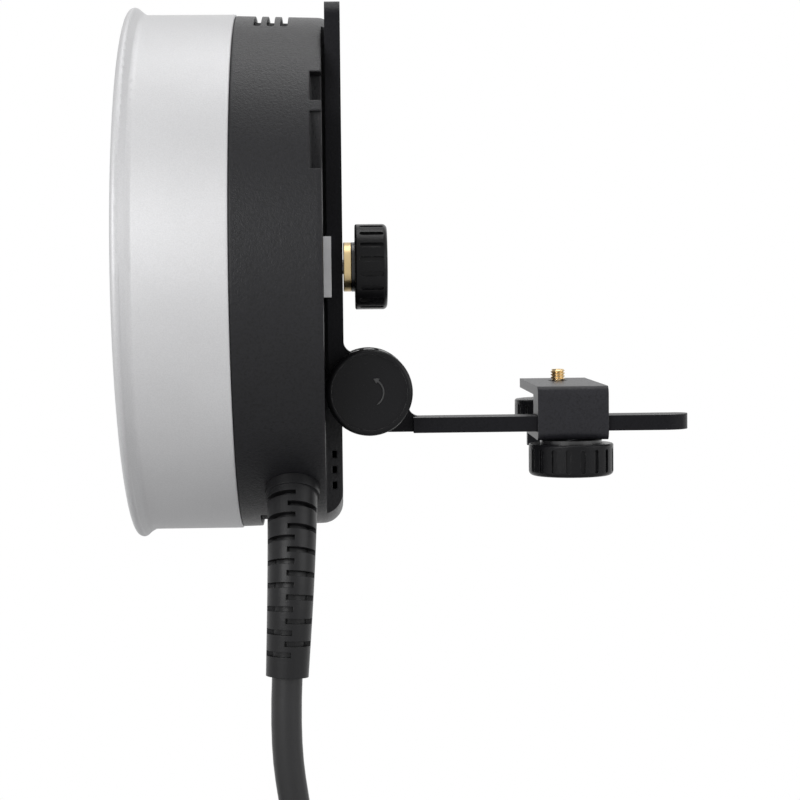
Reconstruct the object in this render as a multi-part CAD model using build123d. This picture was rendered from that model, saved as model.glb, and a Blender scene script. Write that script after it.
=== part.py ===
from build123d import *
from math import atan2, ceil, cos, pi, radians, sin, sqrt, tan
import os

# Ring flash head on a camera bracket. Millimetres, +Z up.
# The origin is the axis of the camera screw on the bracket block's top face, where the camera stands.
# -X is the side that lights, +X is the photographer's side, and the clamp bar lies on the -Y side.
# The ring is turned about the lens axis, which runs along X at y = 0 and z = LENS_Z.

# Fits
RUN_FIT = 0.05          # radial play of a shaft in its own bore
SLIDE_GAP = 0.3         # play beside a part that slides or turns past another
SEAT_GAP = 0.05         # play round an insert or nut in its pocket

# Lens axis and the ring housing
LENS_Z = 49.0           # lens axis over the camera platform
LENS_HOLE_R = 37.9      # clear hole for the lens
TUNNEL_WALL = 1.6
REAR_X = -96.2          # raised rear face
RECESS_X = -103.2       # floor of the bar recess
RECESS_EDGE_Y = -41.2   # step between the raised rear face and the bar recess
JOINT_X = -139.8        # plane where the black housing meets the silver reflector
HOUSING_FRONT_R = 111.7
HOUSING_DRAFT = 1.2     # the rear is this much smaller in radius
HOUSING_WALL = 2.6
HOUSING_ROUND = 9.0     # rounding of the rear corner
JOINT_BEVEL = 0.7       # the thin groove that shows between housing and reflector

# Vent slots round the top and the bottom of the housing
VENT_X = -129.95        # middle of the first slot
VENT_PITCH = 5.6
VENT_COUNT = 3
VENT_WIDTH = 3.1
VENT_HALF_ANGLE = 22.0
SCREEN_THICK = 0.8      # dust screens behind the vent slots
SCREEN_MARGIN = 0.7
SCREEN_TURN = 2.5       # degrees past the slots' ends
STEP_VENT_Z = -28.5     # middle of the three small slots in the step of the rear face
STEP_VENT_PITCH = 6.6
STEP_VENT_SIZE = (1.8, 3.0)
NOTCH_DEPTH = 4.6       # two notches in the near rim beside the bar
NOTCHES = ((116.5, 129.0, -60.0), (88.5, 112.0, -88.0))  # low z, high z, inner y of each

# Reflector: outer skin with a rolled lip, and the annular bowl behind the glass
SKIN_PROUD = 0.6        # the skin stands this much over the housing
SKIN_WALL = 1.4
FLARE_X = -178.6
LIP_X = -183.3
LIP_FLARE = 3.2         # the lip stands this much over the skin
FLARE_ROUND = 4.0
BEAD_R = 2.0
BOWL_WALL = 1.2
BOWL_RIM_X = -177.0
BOWL_FLOOR_X = -148.0
BOWL_RIM_OUTSIDE_TUNNEL = 6.7
BOWL_RIM_INSIDE_SKIN = 3.3
BOWL_FLOOR_REACH = (19.0, 12.0)  # floor inside and outside of the tube's ring
BOWL_CURVES = (11.0, 14.0)
GLASS_THICK = 3.0
GLASS_EDGE = 0.8        # the glass is this much smaller than its seat
RETAINER_R = 1.0        # half thickness of the wire that holds the glass
TUNNEL_LIP_R = 48.5
TUNNEL_LIP_THICK = 1.6

# Flash tube, lamps and what carries them
TUBE_RING_R = 72.0
TUBE_R = 5.5
TUBE_X = -160.0
TUBE_OPEN_ANGLE = 16.0  # half the gap between the tube's legs
TUBE_BEND_R = 9.0
TUBE_LEG_END_X = -137.0
CHASSIS_X = -134.5      # front face of the chassis plate
CHASSIS_THICK = 2.0
CHASSIS_EDGE_GAP = 0.5
TERMINAL_R = 8.6
WIRE_R = 0.5
CLIP_ANGLES = (45.0, 135.0, 225.0, 315.0)
CLIP_WIDTH = 7.0
CLIP_WALL = 0.8
LAMP_ANGLES = (0.0, 90.0, 180.0, 270.0)
LAMP_RING_IN = 13.4     # the lamps stand this much inside the tube's ring
LAMP_R = 4.2
LAMP_LENGTH = 21.0
SOCKET_SIZE = 11.0
STANDOFF_R = 4.0
STANDOFF_ANGLES = (22.5, 142.5, 262.5)
BOSS_ANGLES = (0.0, 60.0, 120.0, 180.0, 240.0, 300.0)
BOSS_RING_IN = 16.5     # the screws stand this much inside the rear's edge
BOSS_R = 4.4
SCREW_R = 2.0
SCREW_HEAD_R = 3.5
SCREW_HEAD_LENGTH = 2.2
SCREW_POCKET_DEPTH = 3.0

# Flat bar, hinge and arm
BAR_WIDTH = 16.0
BAR_NEAR_Y = -58.0
BAR_THICK = 6.5
BAR_REAR_X = -95.3
BAR_TOP_Z = 161.0
END_ROUND_NEAR = 11.0   # the bars' free ends are rounder on the near side
END_ROUND_FAR = 4.0
HINGE_X = -85.0
HINGE_Z = -1.0
HINGE_SHAFT_R = 4.0
WASHER_THICK = 0.7
HINGE_CLEARANCE = 1.7   # round an ear, where the other bar's full width begins
EAR_FILLET = 4.6
HINGE_NUT_ACROSS = 13.0
HINGE_NUT_THICK = 4.5
ARM_THICK = 6.4
ARM_TOP_Z = -12.4
ARM_END_X = 49.7
CLAMP_UP = 1.6          # the clamp's axis stands over the lens axis
HEIGHT_DOWN = 15.0      # travel of the head on the bar
HEIGHT_UP = 90.0
CLAMP_STUD_R = 3.0
SLOT_SIDE_GAP = 0.4

# Guide that holds the bar straight on the housing
GUIDE_HEIGHT = 25.2
GUIDE_WALL = 1.9
GUIDE_BASE = 2.0
GUIDE_REACH = 1.8       # how far its cheeks lap the bar's edges

# Knobs
KNOB_R = 17.8
KNOB_HEIGHT = 13.4
KNOB_GROOVES = 18
KNOB_GROOVE_WIDTH = 2.0
KNOB_GROOVE_DEPTH = 1.0
KNOB_BAND = 1.9         # plain band beside the grooves
KNOB_INNER_ROUND = 0.8
KNOB_OUTER_ROUND = 2.0
KNOB_RIM = 2.3          # width of the rim round the dish
KNOB_DISH_DEPTH = 0.8
KNOB_BASE_R = 13.0
KNOB_BASE_THICK = 1.5
COLLAR_R = 10.25
BRASS_COLLAR_THICK = 3.4
BLACK_COLLAR_THICK = 1.4
CAMERA_KNOB_R = 19.2
CAMERA_KNOB_HEIGHT = 9.6
CAMERA_HUB_R = 8.0
CAMERA_HUB_HEIGHT = 2.7

# Camera block
BLOCK_LENGTH = 29.6
BLOCK_HEIGHT = 22.5
BLOCK_NEAR_WALL = 1.7
BLOCK_FAR_Y = 24.0
BLOCK_FLANGE = 4.1
BLOCK_LOWER_FLANGE = 4.2
BLOCK_LOWER_FAR_Y = -8.0
BLOCK_LEG_WIDTH = 4.0
BLOCK_LEG_DROP = 5.5
BLOCK_ROUND = 3.5
SCREW_HOLE_R = 4.5
CAMERA_SCREW_R = 3.175  # 1/4-20 UNC, outside radius
CAMERA_SCREW_OUT = 5.0
CAMERA_SHANK_R = 2.5    # relieved shank that keeps the screw captive
CAPTIVE_WASHER_R = 6.5
CAPTIVE_WASHER_THICK = 1.0
PAD_THICK = 2.0

# Strain relief and cable
CABLE_D = 12.4
RELIEF_X = -117.1
RELIEF_ANGLE = 36.5     # from straight down, towards -Y
RELIEF_RUNS = (31.0, 49.8)
RELIEF_END_DIR = (-0.052, -0.06, -0.996)
RELIEF_BASE_R = 10.5
RELIEF_TIP_R = 8.65
RELIEF_COLLAR_R = 11.2
RELIEF_COLLAR_LENGTH = 7.0
RELIEF_SEGMENTS = 9
RELIEF_FIRST_SLOT = 2.3 # where the first slot lies, in slot pitches
RELIEF_SLOT = 2.1
RELIEF_LAP = 0.16       # share of the radius by which a slot passes the middle
RELIEF_CORE_R = 6.9     # round core left standing under the slots
RELIEF_SLOT_SIDE = 0.2  # share of the radius left whole between front and back slots
RELIEF_NECK_R = 7.2
GLAND_NUT_R = 10.4
GLAND_NUT_THICK = 5.0

# Cable coil, tied up below the head
COIL_MEAN_R = 74.0
COIL_LOOPS = 3          # loops in each of its two layers
COIL_PITCH = 15.8
COIL_LAYER_STEP = 14.0
COIL_Y = -88.5
COIL_Z = -282.0
COIL_ENTRY_X = -110.5
STRAP_WIDTH = 20.0
STRAP_THICK = 1.8
STRAP_GAP = 0.4
STRAP_BOW = 1.7         # room for the half turns' bulge
STRAP_ROUND = 3.0

# Hanging cable: corners between the relief and the coil, from the coil's entry
CABLE_LEAD = 26.0       # straight out of the relief
CABLE_HANG = ((-6.1, -0.1, 97.6), (-0.7, -0.4, 63.6), (0.0, 0.0, 32.0))

# Plug
PLUG_R = 12.5
PLUG_LENGTH = 44.0
PLUG_BOOT_LENGTH = 18.0
PLUG_RING_R = 16.0
PLUG_RING_LENGTH = 18.0
PLUG_PIN_R = 1.2
PLUG_PIN_RING_R = 6.0
PLUG_PIN_COUNT = 6
PLUG_PIN_LENGTH = 12.0

# Insert of the clamp
INSERT_R = 5.0
INSERT_LENGTH = 9.0
INSERT_BOSS_WALL = 2.0

# Electronics on the back of the chassis plate: depth, width and height of each
TRANSFORMER_SIZE = (17.0, 30.0, 24.0)
TRANSFORMER_AT = (58.0, -28.0)      # y, and z over the lens axis
BOARD_SIZE = (1.6, 40.0, 26.0)
BOARD_ANGLE = 29.0                  # from the top towards +Y
BOARD_EDGE = 32.5                   # its middle to the housing's rear edge
BOARD_STANDOFF = 6.0
BOARD_SPACER_R = 2.5
BOARD_SPACER_IN = 5.0
CAPACITOR_R = 5.0
CAPACITOR_LENGTH = 12.0
TERMINALS_SIZE = (12.0, 26.0, 14.0)
TERMINALS_AT = (-0.37, -1.055)      # y and z from the lens axis, in tube ring radii
TERMINAL_HOLE_R = 2.0
TERMINAL_HOLE_DEPTH = 5.0

# Worked out from the sizes above
HOUSING_REAR_R = HOUSING_FRONT_R - HOUSING_DRAFT
SKIN_R = HOUSING_FRONT_R + SKIN_PROUD
LIP_R = SKIN_R + LIP_FLARE
CLAMP_Z = LENS_Z + CLAMP_UP
LAMP_RING_R = TUBE_RING_R - LAMP_RING_IN
BOSS_RING_R = HOUSING_REAR_R - BOSS_RING_IN
BOWL_RIM_OUT_R = SKIN_R - BOWL_RIM_INSIDE_SKIN
BOWL_FLOOR_IN_R = TUBE_RING_R - BOWL_FLOOR_REACH[0]
BOWL_FLOOR_OUT_R = TUBE_RING_R + BOWL_FLOOR_REACH[1]
TUNNEL_R = LENS_HOLE_R + TUNNEL_WALL
BOWL_RIM_IN_R = TUNNEL_R + BOWL_RIM_OUTSIDE_TUNNEL
BAR_FAR_Y = BAR_NEAR_Y + BAR_WIDTH
BAR_MID_Y = BAR_NEAR_Y + BAR_WIDTH / 2
BAR_FRONT_X = BAR_REAR_X - BAR_THICK
ARM_BOTTOM_Z = ARM_TOP_Z - ARM_THICK
BAR_EAR_R = HINGE_X - BAR_FRONT_X
ARM_EAR_R = HINGE_Z - ARM_BOTTOM_Z
EAR_SPLIT_NEAR_Y = BAR_MID_Y - WASHER_THICK / 2 - 0.15
EAR_SPLIT_FAR_Y = EAR_SPLIT_NEAR_Y + WASHER_THICK + SLIDE_GAP
CHASSIS_BACK_X = CHASSIS_X + CHASSIS_THICK
BOWL_BACK_X = BOWL_FLOOR_X + BOWL_WALL
FACE_X = BOWL_RIM_X - GLASS_THICK
HOUSING_INNER_REAR_X = REAR_X - HOUSING_WALL
GLAND_OUTER_R = sqrt((HOUSING_REAR_R - HOUSING_WALL) ** 2 - GLAND_NUT_R**2) - SEAT_GAP
GLAND_INNER_R = GLAND_OUTER_R - GLAND_NUT_THICK
OUT_Y = -sin(radians(RELIEF_ANGLE))
OUT_Z = -cos(radians(RELIEF_ANGLE))
LENS_AXIS = Axis((0, 0, LENS_Z), (1, 0, 0))


def section(points, radii=0):
    """Close a face in the plane through the lens axis from (x, radius) points."""
    corners = [(x, 0, LENS_Z + r) for x, r in points]
    return make_face(FilletPolyline(*corners, radius=radii, close=True))


def turned(points, radii=0):
    """Turn a closed (x, radius) outline about the lens axis."""
    return revolve(section(points, radii), LENS_AXIS, 360)


def on_ring(x, radius, angle):
    """Give the point at an angle round the lens axis, counted from the top towards +Y."""
    a = radians(angle)
    return Vector(x, radius * sin(a), LENS_Z + radius * cos(a))


def rod(start, end, radius):
    """Make a cylinder from one point to another."""
    start = Vector(*start)
    run = Vector(*end) - start
    disc = Plane(origin=start, z_dir=run) * Circle(radius)
    return extrude(disc, run.length)


def block(low, high):
    """Make a box from its lowest and highest corners."""
    low = Vector(*low)
    size = Vector(*high) - low
    corner = (Align.MIN, Align.MIN, Align.MIN)
    return Pos(low.X, low.Y, low.Z) * Box(size.X, size.Y, size.Z, align=corner)


def ear_disc(radius, near_y, far_y):
    """Make a hinge ear's round end."""
    return rod((HINGE_X, near_y, HINGE_Z), (HINGE_X, far_y, HINGE_Z), radius)


# Housing
def housing_form(play=0.0):
    """Solid outer form of the housing, which the relief's collar also seats on."""
    return turned(
        [
            (JOINT_X, TUNNEL_R + SLIDE_GAP),
            (JOINT_X, HOUSING_FRONT_R + play),
            (REAR_X, HOUSING_REAR_R + play),
            (REAR_X, TUNNEL_R + SLIDE_GAP),
        ],
        [0, JOINT_BEVEL, HOUSING_ROUND, 0],
    )


def make_housing():
    """Rear housing: a moulded shell with the bar recess, vents, bosses and cable outlet."""
    outer = housing_form()
    cavity = turned(
        [
            (JOINT_X - 1, TUNNEL_R + SLIDE_GAP + HOUSING_WALL),
            (JOINT_X - 1, HOUSING_FRONT_R - HOUSING_WALL),
            (HOUSING_INNER_REAR_X, HOUSING_REAR_R - HOUSING_WALL),
            (HOUSING_INNER_REAR_X, TUNNEL_R + SLIDE_GAP + HOUSING_WALL),
        ],
        [0, 0, HOUSING_ROUND - HOUSING_WALL, 0],
    )
    front_gap = turned(
        [
            (JOINT_X - 1, TUNNEL_R),
            (JOINT_X - 1, HOUSING_FRONT_R - HOUSING_WALL),
            (CHASSIS_BACK_X, HOUSING_FRONT_R - HOUSING_WALL),
            (CHASSIS_BACK_X, TUNNEL_R),
        ]
    )
    reach = 2 * HOUSING_FRONT_R
    recess = block((RECESS_X, -reach, -reach), (0, RECESS_EDGE_Y, reach))
    recess_skin = block(
        (RECESS_X - HOUSING_WALL, -reach, -reach),
        (0, RECESS_EDGE_Y + HOUSING_WALL, reach),
    )
    for low, high, inner_y in NOTCHES:
        recess = recess + block((RECESS_X - NOTCH_DEPTH, -reach, low), (0, inner_y, high))
        recess_skin = recess_skin + block(
            (RECESS_X - NOTCH_DEPTH - HOUSING_WALL, -reach, low - HOUSING_WALL),
            (0, inner_y + HOUSING_WALL, high + HOUSING_WALL),
        )
    shell = outer - recess - (cavity - recess_skin) - front_gap
    posts = [boss_post(angle) for angle in BOSS_ANGLES]
    posts.append(insert_boss())
    shell = shell + posts
    shell = shell - guide_seat() - vent_slots() - step_vents() - cable_outlet()
    return shell - [boss_hole(angle) for angle in BOSS_ANGLES] - insert_hole()


def rear_at(angle):
    """Give the x of the rear face at a screw, which lies lower in the bar recess."""
    spot = on_ring(0, BOSS_RING_R, angle)
    return RECESS_X if spot.Y < RECESS_EDGE_Y else REAR_X


def boss_post(angle):
    """Screw post inside the housing, from the rear wall to the chassis plate."""
    start = on_ring(CHASSIS_BACK_X, BOSS_RING_R, angle)
    end = on_ring(rear_at(angle) - HOUSING_WALL / 2, BOSS_RING_R, angle)
    return rod(start, end, BOSS_R)


def boss_hole(angle):
    """Screw hole and head pocket through one post."""
    rear = rear_at(angle)
    through = rod(
        on_ring(CHASSIS_BACK_X - 1, BOSS_RING_R, angle),
        on_ring(rear + 1, BOSS_RING_R, angle),
        SCREW_R + SEAT_GAP,
    )
    pocket = rod(
        on_ring(rear - SCREW_POCKET_DEPTH, BOSS_RING_R, angle),
        on_ring(rear + 1, BOSS_RING_R, angle),
        SCREW_HEAD_R + SEAT_GAP,
    )
    return through + pocket


def rear_screw(angle):
    """Cap screw that pulls the chassis plate against the housing's posts."""
    rear = rear_at(angle)
    seat_x = rear - SCREW_POCKET_DEPTH
    shank = rod(
        on_ring(CHASSIS_X, BOSS_RING_R, angle), on_ring(seat_x, BOSS_RING_R, angle), SCREW_R
    )
    head = rod(
        on_ring(seat_x, BOSS_RING_R, angle),
        on_ring(seat_x + SCREW_HEAD_LENGTH, BOSS_RING_R, angle),
        SCREW_HEAD_R,
    )
    centre = on_ring(seat_x + SCREW_HEAD_LENGTH, BOSS_RING_R, angle)
    socket = extrude(
        Plane(origin=centre, z_dir=(-1, 0, 0)) * RegularPolygon(SCREW_R * 0.75, 6), 1.2
    )
    return shank + head - socket


def insert_span():
    """Give the x range of the brass insert behind the guide's base."""
    back = RECESS_X - GUIDE_BASE + SLIDE_GAP
    return back - INSERT_LENGTH, back


def insert_boss():
    """Thick spot of the housing round the clamp's brass insert."""
    front, back = insert_span()
    start = (front, BAR_MID_Y, CLAMP_Z)
    return rod(start, (back - 0.5, BAR_MID_Y, CLAMP_Z), INSERT_R + INSERT_BOSS_WALL)


def insert_hole():
    """Pocket for the brass insert."""
    front, back = insert_span()
    start = (front - 1, BAR_MID_Y, CLAMP_Z)
    return rod(start, (back, BAR_MID_Y, CLAMP_Z), INSERT_R + SEAT_GAP)


def guide_seat():
    """Shallow seat for the bar guide in the recess floor and in the step beside it."""
    y0, y1 = guide_span()
    half = GUIDE_HEIGHT / 2 + SEAT_GAP
    base_front = RECESS_X - GUIDE_BASE + SLIDE_GAP
    return block((base_front, y0 - SEAT_GAP, CLAMP_Z - half), (0, y1 + SEAT_GAP, CLAMP_Z + half))


def vent_slots():
    """Slots round the top and the bottom of the housing."""
    cuts = []
    inner = HOUSING_REAR_R - 2 * HOUSING_WALL
    outer = HOUSING_FRONT_R + HOUSING_WALL
    for index in range(VENT_COUNT):
        x = VENT_X + index * VENT_PITCH
        half = VENT_WIDTH / 2
        face = section([(x - half, inner), (x - half, outer), (x + half, outer), (x + half, inner)])
        for middle in (0.0, 180.0):
            turn = Rot(middle - VENT_HALF_ANGLE, 0, 0)
            about = Pos(0, 0, LENS_Z) * turn * Pos(0, 0, -LENS_Z)
            cuts.append(about * revolve(face, LENS_AXIS, 2 * VENT_HALF_ANGLE))
            for side in (-1, 1):
                angle = middle + side * VENT_HALF_ANGLE
                cuts.append(rod(on_ring(x, inner, angle), on_ring(x, outer, angle), half))
    return cuts


def make_vent_screens():
    """Dust screens that lie against the housing's wall behind the vent slots."""
    slope = HOUSING_DRAFT / (HOUSING_INNER_REAR_X - JOINT_X + 1)
    front = VENT_X - VENT_WIDTH / 2 - SCREEN_MARGIN
    rear = VENT_X + (VENT_COUNT - 1) * VENT_PITCH + VENT_WIDTH / 2 + SCREEN_MARGIN
    wall_r = HOUSING_FRONT_R - HOUSING_WALL - SEAT_GAP
    wall = [(x, wall_r - slope * (x - JOINT_X + 1)) for x in (front, rear)]
    face = section([*wall, *((x, r - SCREEN_THICK) for x, r in reversed(wall))])
    half = VENT_HALF_ANGLE + SCREEN_TURN
    screens = []
    for middle in (0.0, 180.0):
        about = Pos(0, 0, LENS_Z) * Rot(middle - half, 0, 0) * Pos(0, 0, -LENS_Z)
        screens.append(about * revolve(face, LENS_AXIS, 2 * half))
    return screens


def step_vents():
    """Three small slots in the step of the rear face, below the hinge."""
    wide, tall = STEP_VENT_SIZE
    middle = (REAR_X + RECESS_X) / 2
    cuts = []
    for index in range(VENT_COUNT):
        z = STEP_VENT_Z - index * STEP_VENT_PITCH
        low = (middle - wide / 2, RECESS_EDGE_Y - 1, z - tall / 2)
        cuts.append(block(low, (middle + wide / 2, RECESS_EDGE_Y + 2 * HOUSING_WALL, z + tall / 2)))
    return cuts


def relief_point(distance):
    """Give a point on the relief's axis by its distance from the lens axis."""
    return Vector(RELIEF_X, OUT_Y * distance, LENS_Z + OUT_Z * distance)


def cable_outlet():
    """Hole in the housing wall for the gland."""
    start = relief_point(GLAND_INNER_R)
    return rod(start, relief_point(HOUSING_FRONT_R + 5), RELIEF_NECK_R + SEAT_GAP)


# Reflector and glass
def make_skin():
    """Silver outer skin of the reflector, flaring to a rolled lip."""
    crest_r = LIP_R - BEAD_R
    inner_r = SKIN_R - SKIN_WALL
    flange_r = HOUSING_FRONT_R - HOUSING_WALL - 3
    sheet = section(
        [
            (JOINT_X - SEAT_GAP, inner_r),
            (JOINT_X - SEAT_GAP, SKIN_R),
            (FLARE_X, SKIN_R),
            (LIP_X + 0.6, LIP_R - 0.1),
            (LIP_X - 0.6, crest_r),
            (FLARE_X - 0.6, inner_r),
        ],
        [0, JOINT_BEVEL, FLARE_ROUND, 0, 0, FLARE_ROUND - 0.5],
    )
    bead = Pos(LIP_X, 0, LENS_Z + crest_r) * Rot(90, 0, 0) * Circle(BEAD_R)
    inner_flange = section(
        [
            (JOINT_X - SEAT_GAP, flange_r),
            (JOINT_X - SEAT_GAP, inner_r + 0.2),
            (JOINT_X - 1.4, inner_r + 0.2),
            (JOINT_X - 1.4, flange_r),
        ]
    )
    return revolve((sheet + inner_flange).face(), LENS_AXIS, 360) + revolve(bead, LENS_AXIS, 360)


def bowl_line(offset):
    """Outline corners of the bowl's wall, moved rearward and outward by an offset."""
    return [
        (BOWL_RIM_X, BOWL_RIM_IN_R - offset),
        (BOWL_FLOOR_X + offset, BOWL_FLOOR_IN_R - offset),
        (BOWL_FLOOR_X + offset, BOWL_FLOOR_OUT_R + offset * 0.6),
        (BOWL_RIM_X, BOWL_RIM_OUT_R + offset),
    ]


def make_bowl():
    """Annular reflector bowl, pierced for the tube's legs and the lamps."""
    front = bowl_line(0)
    back = bowl_line(BOWL_WALL)
    back.reverse()
    curve_in, curve_out = BOWL_CURVES
    radii = [0, curve_in, curve_out, 0]
    radii += [0, curve_out + BOWL_WALL, curve_in + BOWL_WALL, 0]
    bowl = turned(front + back, radii)
    cuts = []
    for side in (-1, 1):
        leg = leg_point(side, 0)
        start = (BOWL_FLOOR_X - 12, leg.Y, leg.Z)
        cuts.append(rod(start, (BOWL_BACK_X + 1, leg.Y, leg.Z), TUBE_R + 0.7))
    for angle in LAMP_ANGLES:
        start = on_ring(BOWL_FLOOR_X - 12, LAMP_RING_R, angle)
        cuts.append(rod(start, on_ring(BOWL_BACK_X + 1, LAMP_RING_R, angle), LAMP_R + 0.6))
    return bowl - cuts


def make_glass():
    """Clear protective ring in front of the bowl."""
    inner = BOWL_RIM_IN_R - BOWL_WALL
    outer = BOWL_RIM_OUT_R + BOWL_WALL - GLASS_EDGE
    return turned(
        [(FACE_X, inner), (FACE_X, outer), (BOWL_RIM_X, outer), (BOWL_RIM_X, inner)],
        [GLASS_EDGE / 2, GLASS_EDGE / 2, 0, 0],
    )


def make_glass_retainer():
    """Round wire that snaps in front of the glass, inside the skin."""
    wire_r = SKIN_R - SKIN_WALL - RETAINER_R - 0.3
    circle = Pos(FACE_X - RETAINER_R, 0, LENS_Z + wire_r) * Rot(90, 0, 0) * Circle(RETAINER_R)
    return revolve(circle, LENS_AXIS, 360)


def make_tunnel():
    """Lens tunnel through the head, with a lip that holds the inner edge of the glass."""
    lip_x = FACE_X - TUNNEL_LIP_THICK
    return turned(
        [
            (lip_x, LENS_HOLE_R),
            (lip_x, TUNNEL_LIP_R),
            (FACE_X, TUNNEL_LIP_R),
            (FACE_X, TUNNEL_R),
            (REAR_X, TUNNEL_R),
            (REAR_X, LENS_HOLE_R),
        ],
        [0.4, 0.6, 0, 0, 0, 0.4],
    )


# Flash tube and its carriers
def leg_point(side, x):
    """Give the leg's axis point: the tube's ring end moved on along its tangent by the bend."""
    end = on_ring(x, TUBE_RING_R, 180 - side * TUBE_OPEN_ANGLE)
    a = radians(180 - side * TUBE_OPEN_ANGLE)
    return end + Vector(0, cos(a), -sin(a)) * (side * TUBE_BEND_R)


def make_flash_tube():
    """Glass flash tube: an open ring whose two ends bend back through the bowl."""
    legs = {}
    bends = {}
    for side in (-1, 1):
        ring_end = on_ring(TUBE_X, TUBE_RING_R, 180 - side * TUBE_OPEN_ANGLE)
        corner = leg_point(side, TUBE_X)
        leg_start = corner + Vector(TUBE_BEND_R, 0, 0)
        leg_end = Vector(TUBE_LEG_END_X, corner.Y, corner.Z)
        centre = ring_end + Vector(TUBE_BEND_R, 0, 0)
        middle = centre + (corner - centre).normalized() * TUBE_BEND_R
        legs[side] = Line(leg_start, leg_end)
        bends[side] = ThreePointArc(ring_end, middle, leg_start)
    ring = ThreePointArc(
        on_ring(TUBE_X, TUBE_RING_R, 180 - TUBE_OPEN_ANGLE),
        on_ring(TUBE_X, TUBE_RING_R, 0),
        on_ring(TUBE_X, TUBE_RING_R, 180 + TUBE_OPEN_ANGLE),
    )
    path = Wire([legs[1], bends[1], ring, bends[-1], legs[-1]])
    profile = Plane(origin=path @ 0, z_dir=path % 0) * Circle(TUBE_R)
    return sweep(profile, path=path)


def make_electrodes():
    """Metal end caps with pins on the tube's two legs."""
    caps = []
    for side in (-1, 1):
        leg = leg_point(side, TUBE_LEG_END_X)
        cap = rod(leg, leg + Vector(1.6, 0, 0), TUBE_R)
        pin = rod(leg + Vector(1.6, 0, 0), (CHASSIS_BACK_X + 4, leg.Y, leg.Z), 1.2)
        caps.append(cap + pin)
    return caps


def make_tube_terminals():
    """Ceramic cups on the chassis plate that hold the tube's legs."""
    cups = []
    for side in (-1, 1):
        leg = leg_point(side, BOWL_BACK_X + SLIDE_GAP)
        cup = rod(leg, (CHASSIS_X, leg.Y, leg.Z), TERMINAL_R)
        bore = rod(leg - Vector(1, 0, 0), (TUBE_LEG_END_X + 1.6, leg.Y, leg.Z), TUBE_R + SLIDE_GAP)
        pin_hole = rod(leg, (CHASSIS_X + 1, leg.Y, leg.Z), 1.2 + SLIDE_GAP)
        cups.append(cup - bore - pin_hole)
    return cups


def make_trigger_wire():
    """Thin wire hoop that lies on the front of the tube and fires it."""
    x = TUBE_X - TUBE_R - WIRE_R - 0.1
    circle = Pos(x, 0, LENS_Z + TUBE_RING_R) * Rot(90, 0, 0) * Circle(WIRE_R)
    span = 360 - 4 * TUBE_OPEN_ANGLE
    about = Pos(0, 0, LENS_Z) * Rot(-span / 2, 0, 0) * Pos(0, 0, -LENS_Z)
    return about * revolve(circle, LENS_AXIS, span)


def make_tube_clip(angle):
    """Spring clip: a split ring on a foot that holds the tube off the bowl's floor."""
    centre = on_ring(TUBE_X, TUBE_RING_R, angle)
    a = radians(angle)
    along = Vector(0, cos(a), -sin(a))
    frame = Plane(origin=centre - along * (CLIP_WIDTH / 2), x_dir=(1, 0, 0), z_dir=along)
    inner = TUBE_R + SLIDE_GAP
    ring = Circle(inner + CLIP_WALL) - Circle(inner)
    mouth = Pos(-inner - 3, 0) * Rectangle(8, 1.3 * inner)
    foot_end = BOWL_FLOOR_X - TUBE_X
    foot_length = foot_end - inner - 0.4
    foot = Pos(foot_end - foot_length / 2, 0) * Rectangle(foot_length, 3.0)
    base = Pos(foot_end - 0.5, 0) * Rectangle(1.0, 9.0)
    return extrude(frame * (ring - mouth + foot + base), CLIP_WIDTH)


def make_lamp(angle):
    """Halogen capsule of the modelling light, with a round tip."""
    base = on_ring(BOWL_BACK_X + 0.5, LAMP_RING_R, angle)
    tip = base - Vector(LAMP_LENGTH, 0, 0)
    capsule = rod(base, tip, LAMP_R)
    return fillet(capsule.edges().sort_by(Axis.X)[0], LAMP_R * 0.7)


def make_lamp_socket(angle):
    """Ceramic socket between the bowl and the chassis plate."""
    front_x = BOWL_BACK_X + 0.5
    length = CHASSIS_X - front_x
    half = SOCKET_SIZE / 2
    turn = Pos(0, 0, LENS_Z) * Rot(-angle, 0, 0)
    body = block((front_x, -half, LAMP_RING_R - half), (front_x + length, half, LAMP_RING_R + half))
    socket = turn * body
    return fillet(socket.edges().filter_by(Axis.X), 1.2)


def make_standoff(angle):
    """Spacer between the bowl and the chassis plate."""
    start = on_ring(BOWL_BACK_X, TUBE_RING_R, angle)
    return rod(start, on_ring(CHASSIS_X, TUBE_RING_R, angle), STANDOFF_R)


def make_chassis():
    """Round chassis plate that carries the bowl, tube, lamps and electronics."""
    inner = TUNNEL_R + SLIDE_GAP
    outer = HOUSING_FRONT_R - HOUSING_WALL - CHASSIS_EDGE_GAP
    plate = turned(
        [(CHASSIS_X, inner), (CHASSIS_X, outer), (CHASSIS_BACK_X, outer), (CHASSIS_BACK_X, inner)]
    )
    cuts = []
    for side in (-1, 1):
        leg = leg_point(side, CHASSIS_X - 1)
        cuts.append(rod(leg, leg + Vector(CHASSIS_THICK + 2, 0, 0), 4.0))
    for angle in BOSS_ANGLES:
        start = on_ring(CHASSIS_X - 1, BOSS_RING_R, angle)
        cuts.append(rod(start, start + Vector(CHASSIS_THICK + 2, 0, 0), SCREW_R + SEAT_GAP))
    return plate - cuts


def on_chassis(size, y, z, lift=0.0):
    """Make a box that stands on the rear of the chassis plate, centred at y and z."""
    deep, wide, tall = size
    x0 = CHASSIS_BACK_X + lift
    return block((x0, y - wide / 2, z - tall / 2), (x0 + deep, y + wide / 2, z + tall / 2))


def make_trigger_transformer():
    """Potted ignition transformer on the chassis plate."""
    y, up = TRANSFORMER_AT
    body = on_chassis(TRANSFORMER_SIZE, y, LENS_Z + up)
    return fillet(body.edges().filter_by(Axis.X), 2.0)


def board_spot():
    """Give the board's middle, which keeps its distance from the housing's edge."""
    spot = on_ring(0, HOUSING_REAR_R - BOARD_EDGE, BOARD_ANGLE)
    return spot.Y, spot.Z


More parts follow.
